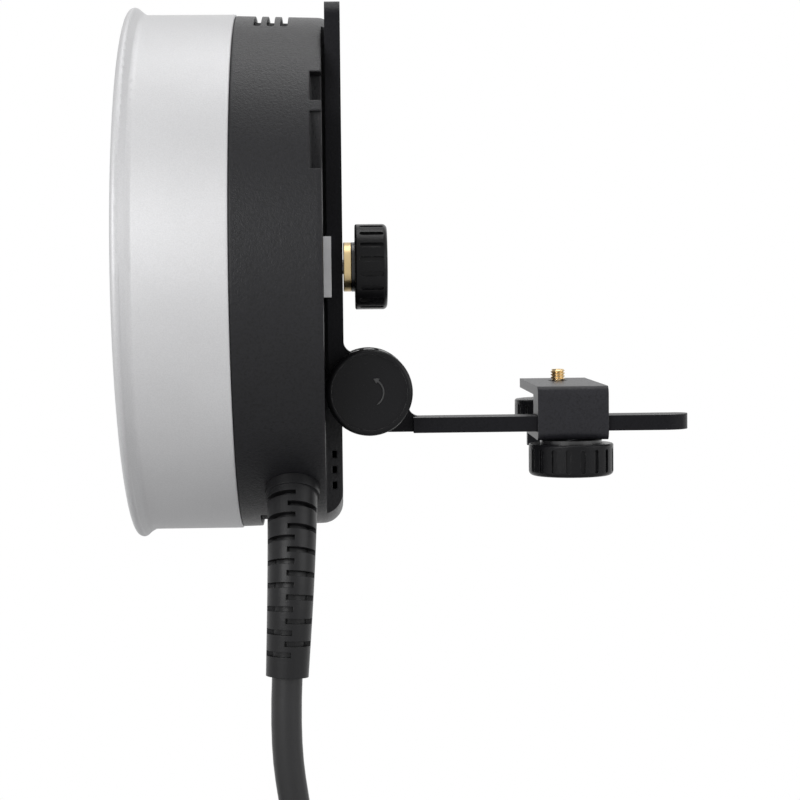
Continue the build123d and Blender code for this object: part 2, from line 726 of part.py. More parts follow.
def make_circuit_board():
    """Trigger and lamp board on four spacers."""
    y, z = board_spot()
    _, wide, tall = BOARD_SIZE
    board = on_chassis(BOARD_SIZE, y, z, BOARD_STANDOFF)
    spacers = []
    for dy in (-1, 1):
        for dz in (-1, 1):
            spot_y = y + dy * (wide / 2 - BOARD_SPACER_IN)
            spot_z = z + dz * (tall / 2 - BOARD_SPACER_IN)
            start = (CHASSIS_BACK_X, spot_y, spot_z)
            end = (CHASSIS_BACK_X + BOARD_STANDOFF, spot_y, spot_z)
            spacers.append(rod(start, end, BOARD_SPACER_R))
    return board + spacers


def make_trigger_capacitor():
    """Trigger capacitor standing on the board."""
    y, z = board_spot()
    x0 = CHASSIS_BACK_X + BOARD_STANDOFF + BOARD_SIZE[0]
    return rod((x0, y, z), (x0 + CAPACITOR_LENGTH, y, z), CAPACITOR_R)


def make_terminal_block():
    """Screw terminal block where the cable's cores end."""
    y = TERMINALS_AT[0] * TUBE_RING_R
    z = LENS_Z + TERMINALS_AT[1] * TUBE_RING_R
    deep, wide, _ = TERMINALS_SIZE
    body = on_chassis(TERMINALS_SIZE, y, z)
    holes = []
    for index in range(4):
        spot = y + (index - 1.5) * wide / 4
        start = (CHASSIS_BACK_X + deep - TERMINAL_HOLE_DEPTH, spot, z)
        holes.append(rod(start, (CHASSIS_BACK_X + deep + 1, spot, z), TERMINAL_HOLE_R))
    return body - holes


# Bar guide and clamp
def guide_span():
    """Give the guide's y range: the bar, its play and a cheek on each side."""
    side = SLIDE_GAP + GUIDE_WALL
    return BAR_NEAR_Y - side, BAR_FAR_Y + side


def make_bar_guide():
    """Silver channel screwed to the housing, whose cheeks keep the bar straight."""
    y0, y1 = guide_span()
    half = GUIDE_HEIGHT / 2
    base_front = RECESS_X - GUIDE_BASE + SLIDE_GAP
    cheek_end = BAR_FRONT_X + GUIDE_REACH
    body = block((base_front, y0, CLAMP_Z - half), (cheek_end, y1, CLAMP_Z + half))
    floor = BAR_FRONT_X - SLIDE_GAP
    channel = block(
        (floor, BAR_NEAR_Y - SLIDE_GAP, CLAMP_Z - half - 1),
        (cheek_end + 1, BAR_FAR_Y + SLIDE_GAP, CLAMP_Z + half + 1),
    )
    hole = rod((base_front - 1, BAR_MID_Y, CLAMP_Z), (floor + 1, BAR_MID_Y, CLAMP_Z), CLAMP_STUD_R + SLIDE_GAP)
    return body - channel - hole


def make_clamp_insert():
    """Threaded brass insert that the clamp knob's stud screws into."""
    front, back = insert_span()
    start = (front, BAR_MID_Y, CLAMP_Z)
    end = (back, BAR_MID_Y, CLAMP_Z)
    bore = rod((front - 1, BAR_MID_Y, CLAMP_Z), (back + 1, BAR_MID_Y, CLAMP_Z), CLAMP_STUD_R + RUN_FIT)
    return rod(start, end, INSERT_R) - bore


def ear_web(radius, face, near_y, far_y, place):
    """Fillet between an ear's disc and its strip; place turns (across, along) into (x, z)."""
    across = face + EAR_FILLET
    along = sqrt((radius + EAR_FILLET) ** 2 - across**2)
    share = radius / (radius + EAR_FILLET)
    on_strip = (face, along)
    on_disc = (across * share, along * share)
    lean = (atan2(on_disc[1] - along, on_disc[0] - across) % (2 * pi) - pi) / 2
    middle = (across + EAR_FILLET * cos(pi + lean), along + EAR_FILLET * sin(pi + lean))

    def spot(pair):
        x, z = place(*pair)
        return (HINGE_X + x, near_y, HINGE_Z + z)

    arc = ThreePointArc(spot(on_strip), spot(middle), spot(on_disc))
    rest = Polyline(spot(on_disc), spot((face - 1, radius * 0.4)), spot((face - 1, along)), spot(on_strip))
    face_2d = make_face([arc, rest])
    return extrude(face_2d, amount=far_y - near_y, dir=(0, 1, 0))


def rounded_end(strip, across, along):
    """Round a strip's free end, more on the near side than on the far side."""
    for index, radius in ((0, END_ROUND_NEAR), (-1, END_ROUND_FAR)):
        corner = strip.edges().filter_by(across).group_by(along)[-1].sort_by(Axis.Y)[index]
        strip = fillet(corner, radius)
    return strip


def make_bar():
    """Flat upright bar: slotted, rounded at the top, halved to an ear at the hinge."""
    rear = BAR_REAR_X - HINGE_X
    full_z = HINGE_Z + sqrt((ARM_EAR_R + HINGE_CLEARANCE) ** 2 - rear**2)
    strip = block((BAR_FRONT_X, BAR_NEAR_Y, HINGE_Z), (BAR_REAR_X, BAR_FAR_Y, BAR_TOP_Z))
    strip = rounded_end(strip, Axis.X, Axis.Z)
    far_half = block(
        (BAR_FRONT_X - 1, EAR_SPLIT_NEAR_Y, HINGE_Z - 1), (BAR_REAR_X + 1, BAR_FAR_Y + 1, full_z)
    )
    ear = ear_disc(BAR_EAR_R, BAR_NEAR_Y, EAR_SPLIT_NEAR_Y)
    web = ear_web(BAR_EAR_R, rear, BAR_NEAR_Y, EAR_SPLIT_NEAR_Y, lambda u, v: (u, v))
    return strip - far_half + ear + web - hinge_bore() - bar_slot()


def hinge_bore():
    """Bore of the hinge through both ears."""
    near = (HINGE_X, BAR_NEAR_Y - 1, HINGE_Z)
    return rod(near, (HINGE_X, BAR_FAR_Y + 1, HINGE_Z), HINGE_SHAFT_R + RUN_FIT)


def bar_slot():
    """Long slot for the clamp stud, as long as the head's travel."""
    half = CLAMP_STUD_R + SLOT_SIDE_GAP
    low = CLAMP_Z - HEIGHT_DOWN - SLOT_SIDE_GAP
    high = CLAMP_Z + HEIGHT_UP + SLOT_SIDE_GAP
    x0 = BAR_FRONT_X - 1
    x1 = BAR_REAR_X + 1
    slot = block((x0, BAR_MID_Y - half, low), (x1, BAR_MID_Y + half, high))
    for z in (low, high):
        slot = slot + rod((x0, BAR_MID_Y, z), (x1, BAR_MID_Y, z), half)
    return slot


def make_arm():
    """Flat arm: halved to an ear at the hinge, with a rounded free end."""
    top = ARM_TOP_Z - HINGE_Z
    full_x = HINGE_X + BAR_EAR_R + HINGE_CLEARANCE
    strip = block((HINGE_X, BAR_NEAR_Y, ARM_BOTTOM_Z), (ARM_END_X, BAR_FAR_Y, ARM_TOP_Z))
    near_half = block(
        (HINGE_X - 1, BAR_NEAR_Y - 1, ARM_BOTTOM_Z - 1), (full_x, EAR_SPLIT_FAR_Y, ARM_TOP_Z + 1)
    )
    strip = rounded_end(strip, Axis.Z, Axis.X) - near_half
    ear = ear_disc(ARM_EAR_R, EAR_SPLIT_FAR_Y, BAR_FAR_Y)
    web = ear_web(ARM_EAR_R, top, EAR_SPLIT_FAR_Y, BAR_FAR_Y, lambda u, v: (v, u))
    return strip + ear + web - hinge_bore() - nut_pocket(SEAT_GAP)


def nut_pocket(play):
    """Hexagon of the hinge nut in the arm's ear."""
    radius = (HINGE_NUT_ACROSS / 2 + play) / cos(pi / 6)
    face = Plane(origin=(HINGE_X, BAR_FAR_Y, HINGE_Z), z_dir=(0, -1, 0)) * RegularPolygon(radius, 6)
    return extrude(face, HINGE_NUT_THICK)


def make_hinge_nut():
    """Hexagon nut let into the arm's ear."""
    return nut_pocket(0) - hinge_bore()


def make_hinge_washer():
    """Plastic friction washer between the two ears."""
    near = (HINGE_X, EAR_SPLIT_NEAR_Y, HINGE_Z)
    far = (HINGE_X, EAR_SPLIT_NEAR_Y + WASHER_THICK, HINGE_Z)
    return rod(near, far, ARM_EAR_R - HINGE_CLEARANCE) - hinge_bore()


# Knobs
def make_knob(height, radius=KNOB_R):
    """Fluted knob standing on z = 0, with its dished outer face up."""
    body = Pos(0, 0, height / 2) * Cylinder(radius, height)
    rims = body.edges().filter_by(GeomType.CIRCLE).sort_by(Axis.Z)
    body = fillet(rims[-1], KNOB_OUTER_ROUND)
    rims = body.edges().filter_by(GeomType.CIRCLE).sort_by(Axis.Z)
    body = fillet(rims[0], KNOB_INNER_ROUND)
    dish_r = radius - KNOB_RIM
    dish = Pos(0, 0, height - KNOB_DISH_DEPTH / 2) * Cylinder(dish_r, KNOB_DISH_DEPTH)
    groove_length = height - 2 * KNOB_BAND + 0.3
    middle = KNOB_BAND + groove_length / 2
    stadium = SlotOverall(groove_length, KNOB_GROOVE_WIDTH)
    frame = Plane(origin=(radius - KNOB_GROOVE_DEPTH, 0, middle), x_dir=(0, 0, 1), z_dir=(1, 0, 0))
    groove = extrude(frame * stadium, 2 * KNOB_GROOVE_DEPTH)
    grooves = [Rot(0, 0, index * 360 / KNOB_GROOVES) * groove for index in range(KNOB_GROOVES)]
    return body - dish - grooves


def make_knob_base():
    """Round base under a knob, standing on z = 0."""
    return Pos(0, 0, KNOB_BASE_THICK / 2) * Cylinder(KNOB_BASE_R, KNOB_BASE_THICK)


def plate_knob_x():
    """Give the x of the clamp collar's front, the black collar's and the knob's."""
    collar = BAR_REAR_X + SLIDE_GAP
    black = collar + BRASS_COLLAR_THICK
    return collar, black, black + BLACK_COLLAR_THICK


def facing_x(x, y, z):
    """Place a knob so that its outer face looks along +X."""
    return Pos(x, y, z) * Rot(0, 90, 0)


def make_clamp_knob():
    """Knob that clamps the head to the bar."""
    _, _, knob_x = plate_knob_x()
    return facing_x(knob_x, BAR_MID_Y, CLAMP_Z) * make_knob(KNOB_HEIGHT)


def clamp_tube(x0, x1, radius):
    """Ring round the clamp stud."""
    start = (x0, BAR_MID_Y, CLAMP_Z)
    end = (x1, BAR_MID_Y, CLAMP_Z)
    return rod(start, end, radius) - rod(start, end, CLAMP_STUD_R)


def make_brass_collar():
    """Brass collar that bears on the bar."""
    collar, black, _ = plate_knob_x()
    ring = clamp_tube(collar, black, COLLAR_R)
    outer = ring.edges().filter_by(GeomType.CIRCLE).sort_by(SortBy.RADIUS)[-2:]
    return chamfer(outer, 0.3)


def make_black_collar():
    """Black collar between the brass collar and the knob."""
    _, black, knob_x = plate_knob_x()
    return clamp_tube(black, knob_x, COLLAR_R + 0.1)


def make_clamp_stud():
    """Steel stud from the insert through guide and bar to the knob's back."""
    front, _ = insert_span()
    _, _, knob_x = plate_knob_x()
    return rod((front + 1, BAR_MID_Y, CLAMP_Z), (knob_x, BAR_MID_Y, CLAMP_Z), CLAMP_STUD_R)


def make_hinge_knob():
    """Knob that locks the hinge, on the near side."""
    y = BAR_NEAR_Y - SLIDE_GAP - KNOB_BASE_THICK
    return Pos(HINGE_X, y, HINGE_Z) * Rot(90, 0, 0) * make_knob(KNOB_HEIGHT)


def make_hinge_knob_base():
    """Base of the hinge knob, which bears on the bar's ear."""
    return Pos(HINGE_X, BAR_NEAR_Y - SLIDE_GAP, HINGE_Z) * Rot(90, 0, 0) * make_knob_base()


def make_hinge_bolt():
    """Steel bolt of the hinge, through both ears into the nut."""
    near = BAR_NEAR_Y - SLIDE_GAP
    return rod((HINGE_X, near, HINGE_Z), (HINGE_X, BAR_FAR_Y, HINGE_Z), HINGE_SHAFT_R)


# Camera block
def make_camera_block():
    """Extruded block that rides on the arm and carries the camera screw."""
    near_y = BAR_NEAR_Y - SLIDE_GAP - BLOCK_NEAR_WALL
    far_y = BAR_FAR_Y + SLIDE_GAP + BLOCK_NEAR_WALL
    lower_top = BLOCK_LOWER_FLANGE - BLOCK_HEIGHT
    points = [
        (near_y, 0),
        (BLOCK_FAR_Y, 0),
        (BLOCK_FAR_Y, -BLOCK_FLANGE),
        (far_y, -BLOCK_FLANGE),
        (far_y, lower_top),
        (BLOCK_LOWER_FAR_Y, lower_top),
        (BLOCK_LOWER_FAR_Y, -BLOCK_HEIGHT - BLOCK_LEG_DROP),
        (BLOCK_LOWER_FAR_Y - BLOCK_LEG_WIDTH, -BLOCK_HEIGHT - BLOCK_LEG_DROP),
        (BLOCK_LOWER_FAR_Y - BLOCK_LEG_WIDTH, -BLOCK_HEIGHT),
        (near_y, -BLOCK_HEIGHT),
    ]
    rounds = [BLOCK_ROUND, 0.5, 0.5, 1.0, 1.0, 1.0, 1.0, 0.5, 1.0, BLOCK_ROUND]
    half = BLOCK_LENGTH / 2
    outline = FilletPolyline(*[(-half, y, z) for y, z in points], radius=rounds, close=True)
    body = extrude(make_face(outline), amount=BLOCK_LENGTH, dir=(1, 0, 0))
    window = block(
        (-half - 1, BAR_NEAR_Y - SLIDE_GAP, ARM_BOTTOM_Z - SLIDE_GAP),
        (half + 1, BAR_FAR_Y + SLIDE_GAP, ARM_TOP_Z + SLIDE_GAP),
    )
    hole = rod((0, 0, -BLOCK_FLANGE - 1), (0, 0, 1), SCREW_HOLE_R)
    stud_hole = rod(
        (0, BAR_MID_Y, -BLOCK_HEIGHT - 1), (0, BAR_MID_Y, ARM_BOTTOM_Z), CLAMP_STUD_R + RUN_FIT
    )
    return body - window - hole - stud_hole


def make_captive_washer():
    """Washer under the top flange that keeps the camera screw in its hole."""
    top = -BLOCK_FLANGE - SLIDE_GAP
    disc = rod((0, 0, top - CAPTIVE_WASHER_THICK), (0, 0, top), CAPTIVE_WASHER_R)
    return disc - rod((0, 0, top - 2), (0, 0, top + 1), CAMERA_SHANK_R)


def camera_knob_top():
    """Give the z of the camera knob's hub, under the washer."""
    return -BLOCK_FLANGE - SLIDE_GAP - CAPTIVE_WASHER_THICK


def make_camera_knob():
    """Thumb knob of the camera screw on its hub, in the pocket under the top flange."""
    top = camera_knob_top()
    hub = rod((0, 0, top), (0, 0, top - CAMERA_HUB_HEIGHT), CAMERA_HUB_R)
    knob = make_knob(CAMERA_KNOB_HEIGHT, CAMERA_KNOB_R)
    return hub + Pos(0, 0, top - CAMERA_HUB_HEIGHT) * Rot(180, 0, 0) * knob


def make_camera_screw():
    """Brass camera screw: its thread stands on the platform's level, over a thinner shank."""
    shank = rod((0, 0, camera_knob_top()), (0, 0, 0), CAMERA_SHANK_R)
    thread = rod((0, 0, 0), (0, 0, CAMERA_SCREW_OUT), CAMERA_SCREW_R)
    thread = chamfer(thread.edges().sort_by(Axis.Z)[-1], 0.5)
    return shank + thread


def arm_stud_levels():
    """Give z of the pad's top, the pad's foot, the base's top and the knob's top."""
    pad_top = ARM_BOTTOM_Z - SLIDE_GAP
    base_top = -BLOCK_HEIGHT - SLIDE_GAP
    return pad_top, pad_top - PAD_THICK, base_top, base_top - KNOB_BASE_THICK


def make_arm_knob():
    """Knob under the block that locks it on the arm."""
    _, _, _, knob_top = arm_stud_levels()
    return Pos(0, BAR_MID_Y, knob_top) * Rot(180, 0, 0) * make_knob(KNOB_HEIGHT)


def make_arm_knob_base():
    """Base of the arm knob."""
    _, _, base_top, _ = arm_stud_levels()
    return Pos(0, BAR_MID_Y, base_top) * Rot(180, 0, 0) * make_knob_base()


def make_arm_stud():
    """Steel stud of the arm knob."""
    _, pad_foot, base_top, _ = arm_stud_levels()
    return rod((0, BAR_MID_Y, base_top), (0, BAR_MID_Y, pad_foot), CLAMP_STUD_R)


def make_pressure_pad():
    """Soft brass pad between the stud and the arm."""
    pad_top, pad_foot, _, _ = arm_stud_levels()
    return rod((0, BAR_MID_Y, pad_foot), (0, BAR_MID_Y, pad_top), CLAMP_STUD_R)


# Strain relief, cable, coil and plug
def relief_route():
    """Give the corner points of the relief's axis, from the housing to its tip."""
    first, last = RELIEF_RUNS
    base = relief_point(HOUSING_REAR_R - HOUSING_WALL)
    corner = base + Vector(0, OUT_Y, OUT_Z) * (first + HOUSING_WALL)
    tip = corner + Vector(*RELIEF_END_DIR).normalized() * last
    return base, corner, tip


def corner_radius(before, corner, after, share=0.45):
    """Give the largest arc radius that two runs allow at their corner."""
    one = corner - before
    two = after - corner
    turn = radians(one.get_angle(two))
    return share * min(one.length, two.length) / tan(turn / 2)


def relief_path():
    """Bent axis of the relief."""
    base, corner, tip = relief_route()
    return FilletPolyline(base, corner, tip, radius=[corner_radius(base, corner, tip, 0.9)])


def make_relief():
    """Bend relief: a tapering rubber sleeve with staggered half slots."""
    path = relief_path()
    discs = []
    stations = 2 * RELIEF_SEGMENTS + 1
    for index in range(stations):
        share = index / (stations - 1)
        radius = RELIEF_BASE_R + (RELIEF_TIP_R - RELIEF_BASE_R) * share
        discs.append(Plane(origin=path @ share, z_dir=path % share) * Circle(radius))
    sleeve = loft(discs, ruled=True)
    collar_share = RELIEF_COLLAR_LENGTH / path.length
    collar = rod(path @ 0, path @ collar_share, RELIEF_COLLAR_R)
    neck = rod(relief_point(GLAND_INNER_R), path @ collar_share, RELIEF_NECK_R)
    sleeve = sleeve + collar - housing_form(SEAT_GAP) + neck
    cuts = []
    for index in range(stations - 4):
        share = (index + RELIEF_FIRST_SLOT) / (stations - 0.6)
        radius = RELIEF_BASE_R + (RELIEF_TIP_R - RELIEF_BASE_R) * share
        side = 1 if index % 2 else -1
        across = Plane(origin=path @ share, x_dir=(1, 0, 0), z_dir=path % share)
        wide = radius * (1 + RELIEF_LAP) + 1
        deep = radius * (1 - RELIEF_SLOT_SIDE) + 1
        core = Cylinder(RELIEF_CORE_R, 2 * RELIEF_SLOT)
        for face in (-1, 1):
            spot = Pos(side * (wide / 2 - radius * RELIEF_LAP), face * (radius * RELIEF_SLOT_SIDE + deep / 2), 0)
            cuts.append(across * (spot * Box(wide, deep, RELIEF_SLOT) - core))
    return sleeve - cuts


def make_gland_nut():
    """Nut that holds the relief inside the housing."""
    inner = relief_point(GLAND_INNER_R)
    outer = relief_point(GLAND_OUTER_R)
    hexagon = Plane(origin=inner, z_dir=(0, OUT_Y, OUT_Z)) * RegularPolygon(GLAND_NUT_R, 6)
    body = extrude(hexagon, (outer - inner).length)
    return body - rod(inner, outer, RELIEF_NECK_R + SEAT_GAP)


def coil_points():
    """Give the coil's half-turn points, in two layers that spiral in and out again."""
    outer = COIL_MEAN_R + COIL_PITCH * COIL_LOOPS / 2
    centre_x = COIL_ENTRY_X - outer
    count = 2 * COIL_LOOPS
    radii = [outer - index * COIL_PITCH / 2 for index in range(count + 1)]
    points = []
    for layer, row in enumerate((radii, radii[::-1])):
        for radius in row:
            side = 1 if len(points) % 2 == 0 else -1
            points.append(Vector(centre_x + side * radius, COIL_Y + layer * COIL_LAYER_STEP, COIL_Z))
    return points


def coil_edges():
    """Half turns of the coil between two straight ends."""
    points = coil_points()
    lead = Vector(0, 0, CABLE_D)
    edges = [Line(points[0] + lead, points[0])]
    down = True
    for start, end in zip(points, points[1:]):
        middle = (start + end) * 0.5
        reach = (end - start).length / 2
        sag = Vector(0, 0, -reach if down else reach)
        edges.append(ThreePointArc(start, middle + sag, end))
        down = not down
    last = points[-1]
    edges.append(Line(last, last + (lead if not down else lead * -1)))
    return edges


def make_coil():
    """The put-away cable: one tube swept along the coil's half turns."""
    path = Wire(coil_edges())
    profile = Plane(origin=path @ 0, z_dir=path % 0) * Circle(CABLE_D / 2)
    report_coil(path)
    return sweep(profile, path=path)


def report_coil(path):
    """Print the coil's length and the least gap between its turns."""
    step = 4.0
    count = ceil(path.length / step)
    spots = [path @ (index / count) for index in range(count + 1)]
    apart = ceil(3 * CABLE_D / step)
    least = min(
        (spots[i] - spots[j]).length
        for i in range(len(spots))
        for j in range(i + apart, len(spots))
    )
    print(f"coil length {path.length:.0f} mm, least gap to itself {least - CABLE_D:.2f} mm")


def cable_route():
    """Give the corner points of the hanging cable, from the relief's tip to the coil."""
    _, _, tip = relief_route()
    entry = coil_points()[0] + Vector(0, 0, CABLE_D)
    return [
        tip,
        tip + Vector(*RELIEF_END_DIR).normalized() * CABLE_LEAD,
        *(entry + Vector(*shift) for shift in CABLE_HANG),
        entry,
    ]


def make_cable():
    """Hanging cable: straight runs joined by arcs as large as the runs allow."""
    route = cable_route()
    radii = [corner_radius(*route[i - 1 : i + 2]) for i in range(1, len(route) - 1)]
    path = FilletPolyline(*route, radius=radii)
    profile = Plane(origin=path @ 0, z_dir=path % 0) * Circle(CABLE_D / 2)
    tube = sweep(profile, path=path)
    print("cable radii", [round(r) for r in radii], "length", round(path.length))
    print(f"cable volume over section times length {tube.volume / path.length / (pi * CABLE_D**2 / 4):.4f}")
    return tube


def make_strap(first):
    """Rip strap round the coil's turns, on the entry side or on the plug's side."""
    points = coil_points()
    side_points = points[0::2] if first else points[1::2]
    xs = [point.X for point in side_points]
    near = min(xs) - CABLE_D / 2 - STRAP_GAP
    far = max(xs) + CABLE_D / 2 + STRAP_GAP
    if first:
        near -= STRAP_BOW
    else:
        far += STRAP_BOW
    y0 = COIL_Y - CABLE_D / 2 - STRAP_GAP
    y1 = COIL_Y + COIL_LAYER_STEP + CABLE_D / 2 + STRAP_GAP
    z0 = COIL_Z - STRAP_WIDTH / 2 - 1
    inner = block((near, y0, z0), (far, y1, z0 + STRAP_WIDTH))
    outer = block(
        (near - STRAP_THICK, y0 - STRAP_THICK, z0), (far + STRAP_THICK, y1 + STRAP_THICK, z0 + STRAP_WIDTH)
    )
    inner = fillet(inner.edges().filter_by(Axis.Z), STRAP_ROUND)
    outer = fillet(outer.edges().filter_by(Axis.Z), STRAP_ROUND + STRAP_THICK)
    return outer - inner


def plug_base():
    """Give the plug's root and its direction, at the coil's free end."""
    last = coil_points()[-1]
    up = 1 if len(coil_points()) % 2 == 0 else -1
    return last + Vector(0, 0, up * CABLE_D), up


def plug_rod(start, length, radius):
    """Make a cylinder on the plug's axis."""
    base, up = plug_base()
    return rod(base + Vector(0, 0, up * start), base + Vector(0, 0, up * (start + length)), radius)


def make_plug_boot():
    """Rubber boot at the plug's root."""
    base, up = plug_base()
    low = Plane(origin=base, z_dir=(0, 0, up)) * Circle(CABLE_D / 2 + 1.5)
    high = Plane(origin=base + Vector(0, 0, up * PLUG_BOOT_LENGTH), z_dir=(0, 0, up)) * Circle(PLUG_R - 1)
    return loft([low, high], ruled=True)


def make_plug_body():
    """Shell of the plug, with its contact face set back in a skirt."""
    body = plug_rod(PLUG_BOOT_LENGTH, PLUG_LENGTH, PLUG_R)
    well = plug_rod(PLUG_BOOT_LENGTH + PLUG_LENGTH - PLUG_PIN_LENGTH, PLUG_PIN_LENGTH + 1, PLUG_R - 1.5)
    return body - well


def make_plug_pins():
    """Contact pins in the plug's well, one in the middle and the rest in a ring."""
    base, up = plug_base()
    start = PLUG_BOOT_LENGTH + PLUG_LENGTH - PLUG_PIN_LENGTH
    pins = [plug_rod(start, PLUG_PIN_LENGTH - 1.5, PLUG_PIN_R)]
    for index in range(PLUG_PIN_COUNT):
        a = 2 * pi * index / PLUG_PIN_COUNT
        shift = Pos(PLUG_PIN_RING_R * cos(a), PLUG_PIN_RING_R * sin(a), 0)
        pins.append(shift * plug_rod(start, PLUG_PIN_LENGTH - 1.5, PLUG_PIN_R))
    return pins


def make_plug_ring():
    """Knurled locking ring that turns on the plug's shell."""
    start = PLUG_BOOT_LENGTH + PLUG_LENGTH - PLUG_RING_LENGTH - 4
    ring = plug_rod(start, PLUG_RING_LENGTH, PLUG_RING_R)
    flutes = []
    for index in range(12):
        a = 2 * pi * index / 12
        shift = Pos((PLUG_RING_R + 0.6) * cos(a), (PLUG_RING_R + 0.6) * sin(a), 0)
        flutes.append(shift * plug_rod(start + 3, PLUG_RING_LENGTH, 1.6))
    return ring - plug_rod(start - 1, PLUG_RING_LENGTH + 2, PLUG_R + RUN_FIT) - flutes


NODES = {
    "rear_housing": make_housing,
    "vent_screens": make_vent_screens,
    "reflector_skin": make_skin,
    "reflector_bowl": make_bowl,
    "front_glass": make_glass,
    "glass_retainer": make_glass_retainer,
    "lens_tunnel": make_tunnel,
    "flash_tube": make_flash_tube,
    "tube_electrodes": make_electrodes,
    "tube_terminals": make_tube_terminals,
    "trigger_wire": make_trigger_wire,
    "tube_clips": lambda: [make_tube_clip(angle) for angle in CLIP_ANGLES],
    "modelling_lamps": lambda: [make_lamp(angle) for angle in LAMP_ANGLES],
    "lamp_sockets": lambda: [make_lamp_socket(angle) for angle in LAMP_ANGLES],
    "bowl_standoffs": lambda: [make_standoff(angle) for angle in STANDOFF_ANGLES],
    "chassis_plate": make_chassis,
    "rear_screws": lambda: [rear_screw(angle) for angle in BOSS_ANGLES],
    "trigger_transformer": make_trigger_transformer,
    "circuit_board": make_circuit_board,
    "trigger_capacitor": make_trigger_capacitor,
    "terminal_block": make_terminal_block,
    "bar_guide": make_bar_guide,
    "clamp_insert": make_clamp_insert,
    "clamp_knob": make_clamp_knob,
    "clamp_brass_collar": make_brass_collar,
    "clamp_black_collar": make_black_collar,
    "clamp_stud": make_clamp_stud,
    "upright_bar": make_bar,
    "hinge_washer": make_hinge_washer,
    "hinge_knob": make_hinge_knob,
    "hinge_knob_base": make_hinge_knob_base,
    "hinge_bolt": make_hinge_bolt,
    "bracket_arm": make_arm,
    "hinge_nut": make_hinge_nut,
    "camera_block": make_camera_block,
    "captive_washer": make_captive_washer,
    "camera_knob": make_camera_knob,
    "camera_screw": make_camera_screw,
    "arm_knob": make_arm_knob,
    "arm_knob_base": make_arm_knob_base,
    "arm_stud": make_arm_stud,
    "pressure_pad": make_pressure_pad,
    "strain_relief": make_relief,
    "gland_nut": make_gland_nut,
    "cable": make_cable,
    "cable_coil": make_coil,
    "coil_straps": lambda: [make_strap(True), make_strap(False)],
    "plug_boot": make_plug_boot,
    "plug_body": make_plug_body,
    "plug_pins": make_plug_pins,
    "plug_ring": make_plug_ring,
}

os.makedirs("parts", exist_ok=True)
for node, make in NODES.items():
    shape = make()
    if isinstance(shape, list):
        shape = Compound(children=shape)
    export_step(shape, f"parts/{node}.step")
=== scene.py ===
"""Ring flash head on its camera bracket, dressed for a studio picture.

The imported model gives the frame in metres. The light faces -X, the bracket arm runs to +X,
and the clamp bar, the hinge knob and the cable lie on the -Y side.
"""

import logging
from dataclasses import dataclass
from enum import Enum
from math import cos, pi, radians, sin
from typing import ClassVar

import bpy
from mathutils import Matrix, Vector


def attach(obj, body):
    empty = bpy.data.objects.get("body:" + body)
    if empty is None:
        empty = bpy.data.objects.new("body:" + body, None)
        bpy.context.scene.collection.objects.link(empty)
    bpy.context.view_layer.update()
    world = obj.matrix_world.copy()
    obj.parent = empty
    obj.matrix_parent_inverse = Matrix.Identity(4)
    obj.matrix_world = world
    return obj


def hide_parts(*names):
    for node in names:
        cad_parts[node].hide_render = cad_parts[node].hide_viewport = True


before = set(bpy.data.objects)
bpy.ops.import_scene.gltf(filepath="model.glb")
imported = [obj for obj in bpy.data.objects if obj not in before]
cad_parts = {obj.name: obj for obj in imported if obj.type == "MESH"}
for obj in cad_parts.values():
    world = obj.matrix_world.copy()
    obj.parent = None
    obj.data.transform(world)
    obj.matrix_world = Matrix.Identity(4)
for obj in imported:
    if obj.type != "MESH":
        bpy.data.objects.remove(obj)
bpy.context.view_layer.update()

LOG = logging.getLogger("ring_flash_head")
MM = 0.001
WHITE = (1.0, 1.0, 1.0, 1.0)
Colour = tuple[float, float, float]
Point = tuple[float, float, float]
Faces = list[tuple[int, ...]]
Socket = bpy.types.NodeSocket

# Relief of the finishes: stretch of brushed noise, size of the second grain of a moulded or powdered
# surface, weight of each grain, and the rings' share of turning marks.
BRUSH_STRETCH = (0.04, 1.0, 1.0)
COARSE_GRAIN = 2.6
GRAIN_WEIGHT = 0.6
RING_SHARE = 0.6

# Ranges over which mottling, the painted shade in the grain's pits and wear set in, and the size of a
# worn patch in millimetres. The edge range is the dot product of the rounded and the true normal, from a
# worn edge to a flat face.
MOTTLE_NOISE = (0.3, 0.7)
PIT_SHADE_HEIGHT = (0.35, 0.65)
WEAR_NOISE = (0.42, 0.66)
WEAR_PATCH = 2.5
EDGE_DOT = (0.8, 0.97)
COAT_ROUGHNESS = 0.25
BEVEL_SAMPLES = 4

# Finishes built so far, by name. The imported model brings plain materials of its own, some under the
# same names, so a finish is never taken from Blender's materials.
BUILT: dict[str, bpy.types.Material] = {}


class Grain(Enum):
    """Kinds of surface relief that a finish can carry."""

    MOULDED = "moulded"
    POWDER = "powder"
    SATIN = "satin"
    BRUSHED = "brushed"
    TURNED = "turned"
    HAMMERED = "hammered"
    WOVEN = "woven"
    PLAIN = "plain"


class TurnAxis(Enum):
    """Axis that turning marks run round, as the two other coordinates."""

    X = (1, 2)
    Z = (0, 1)


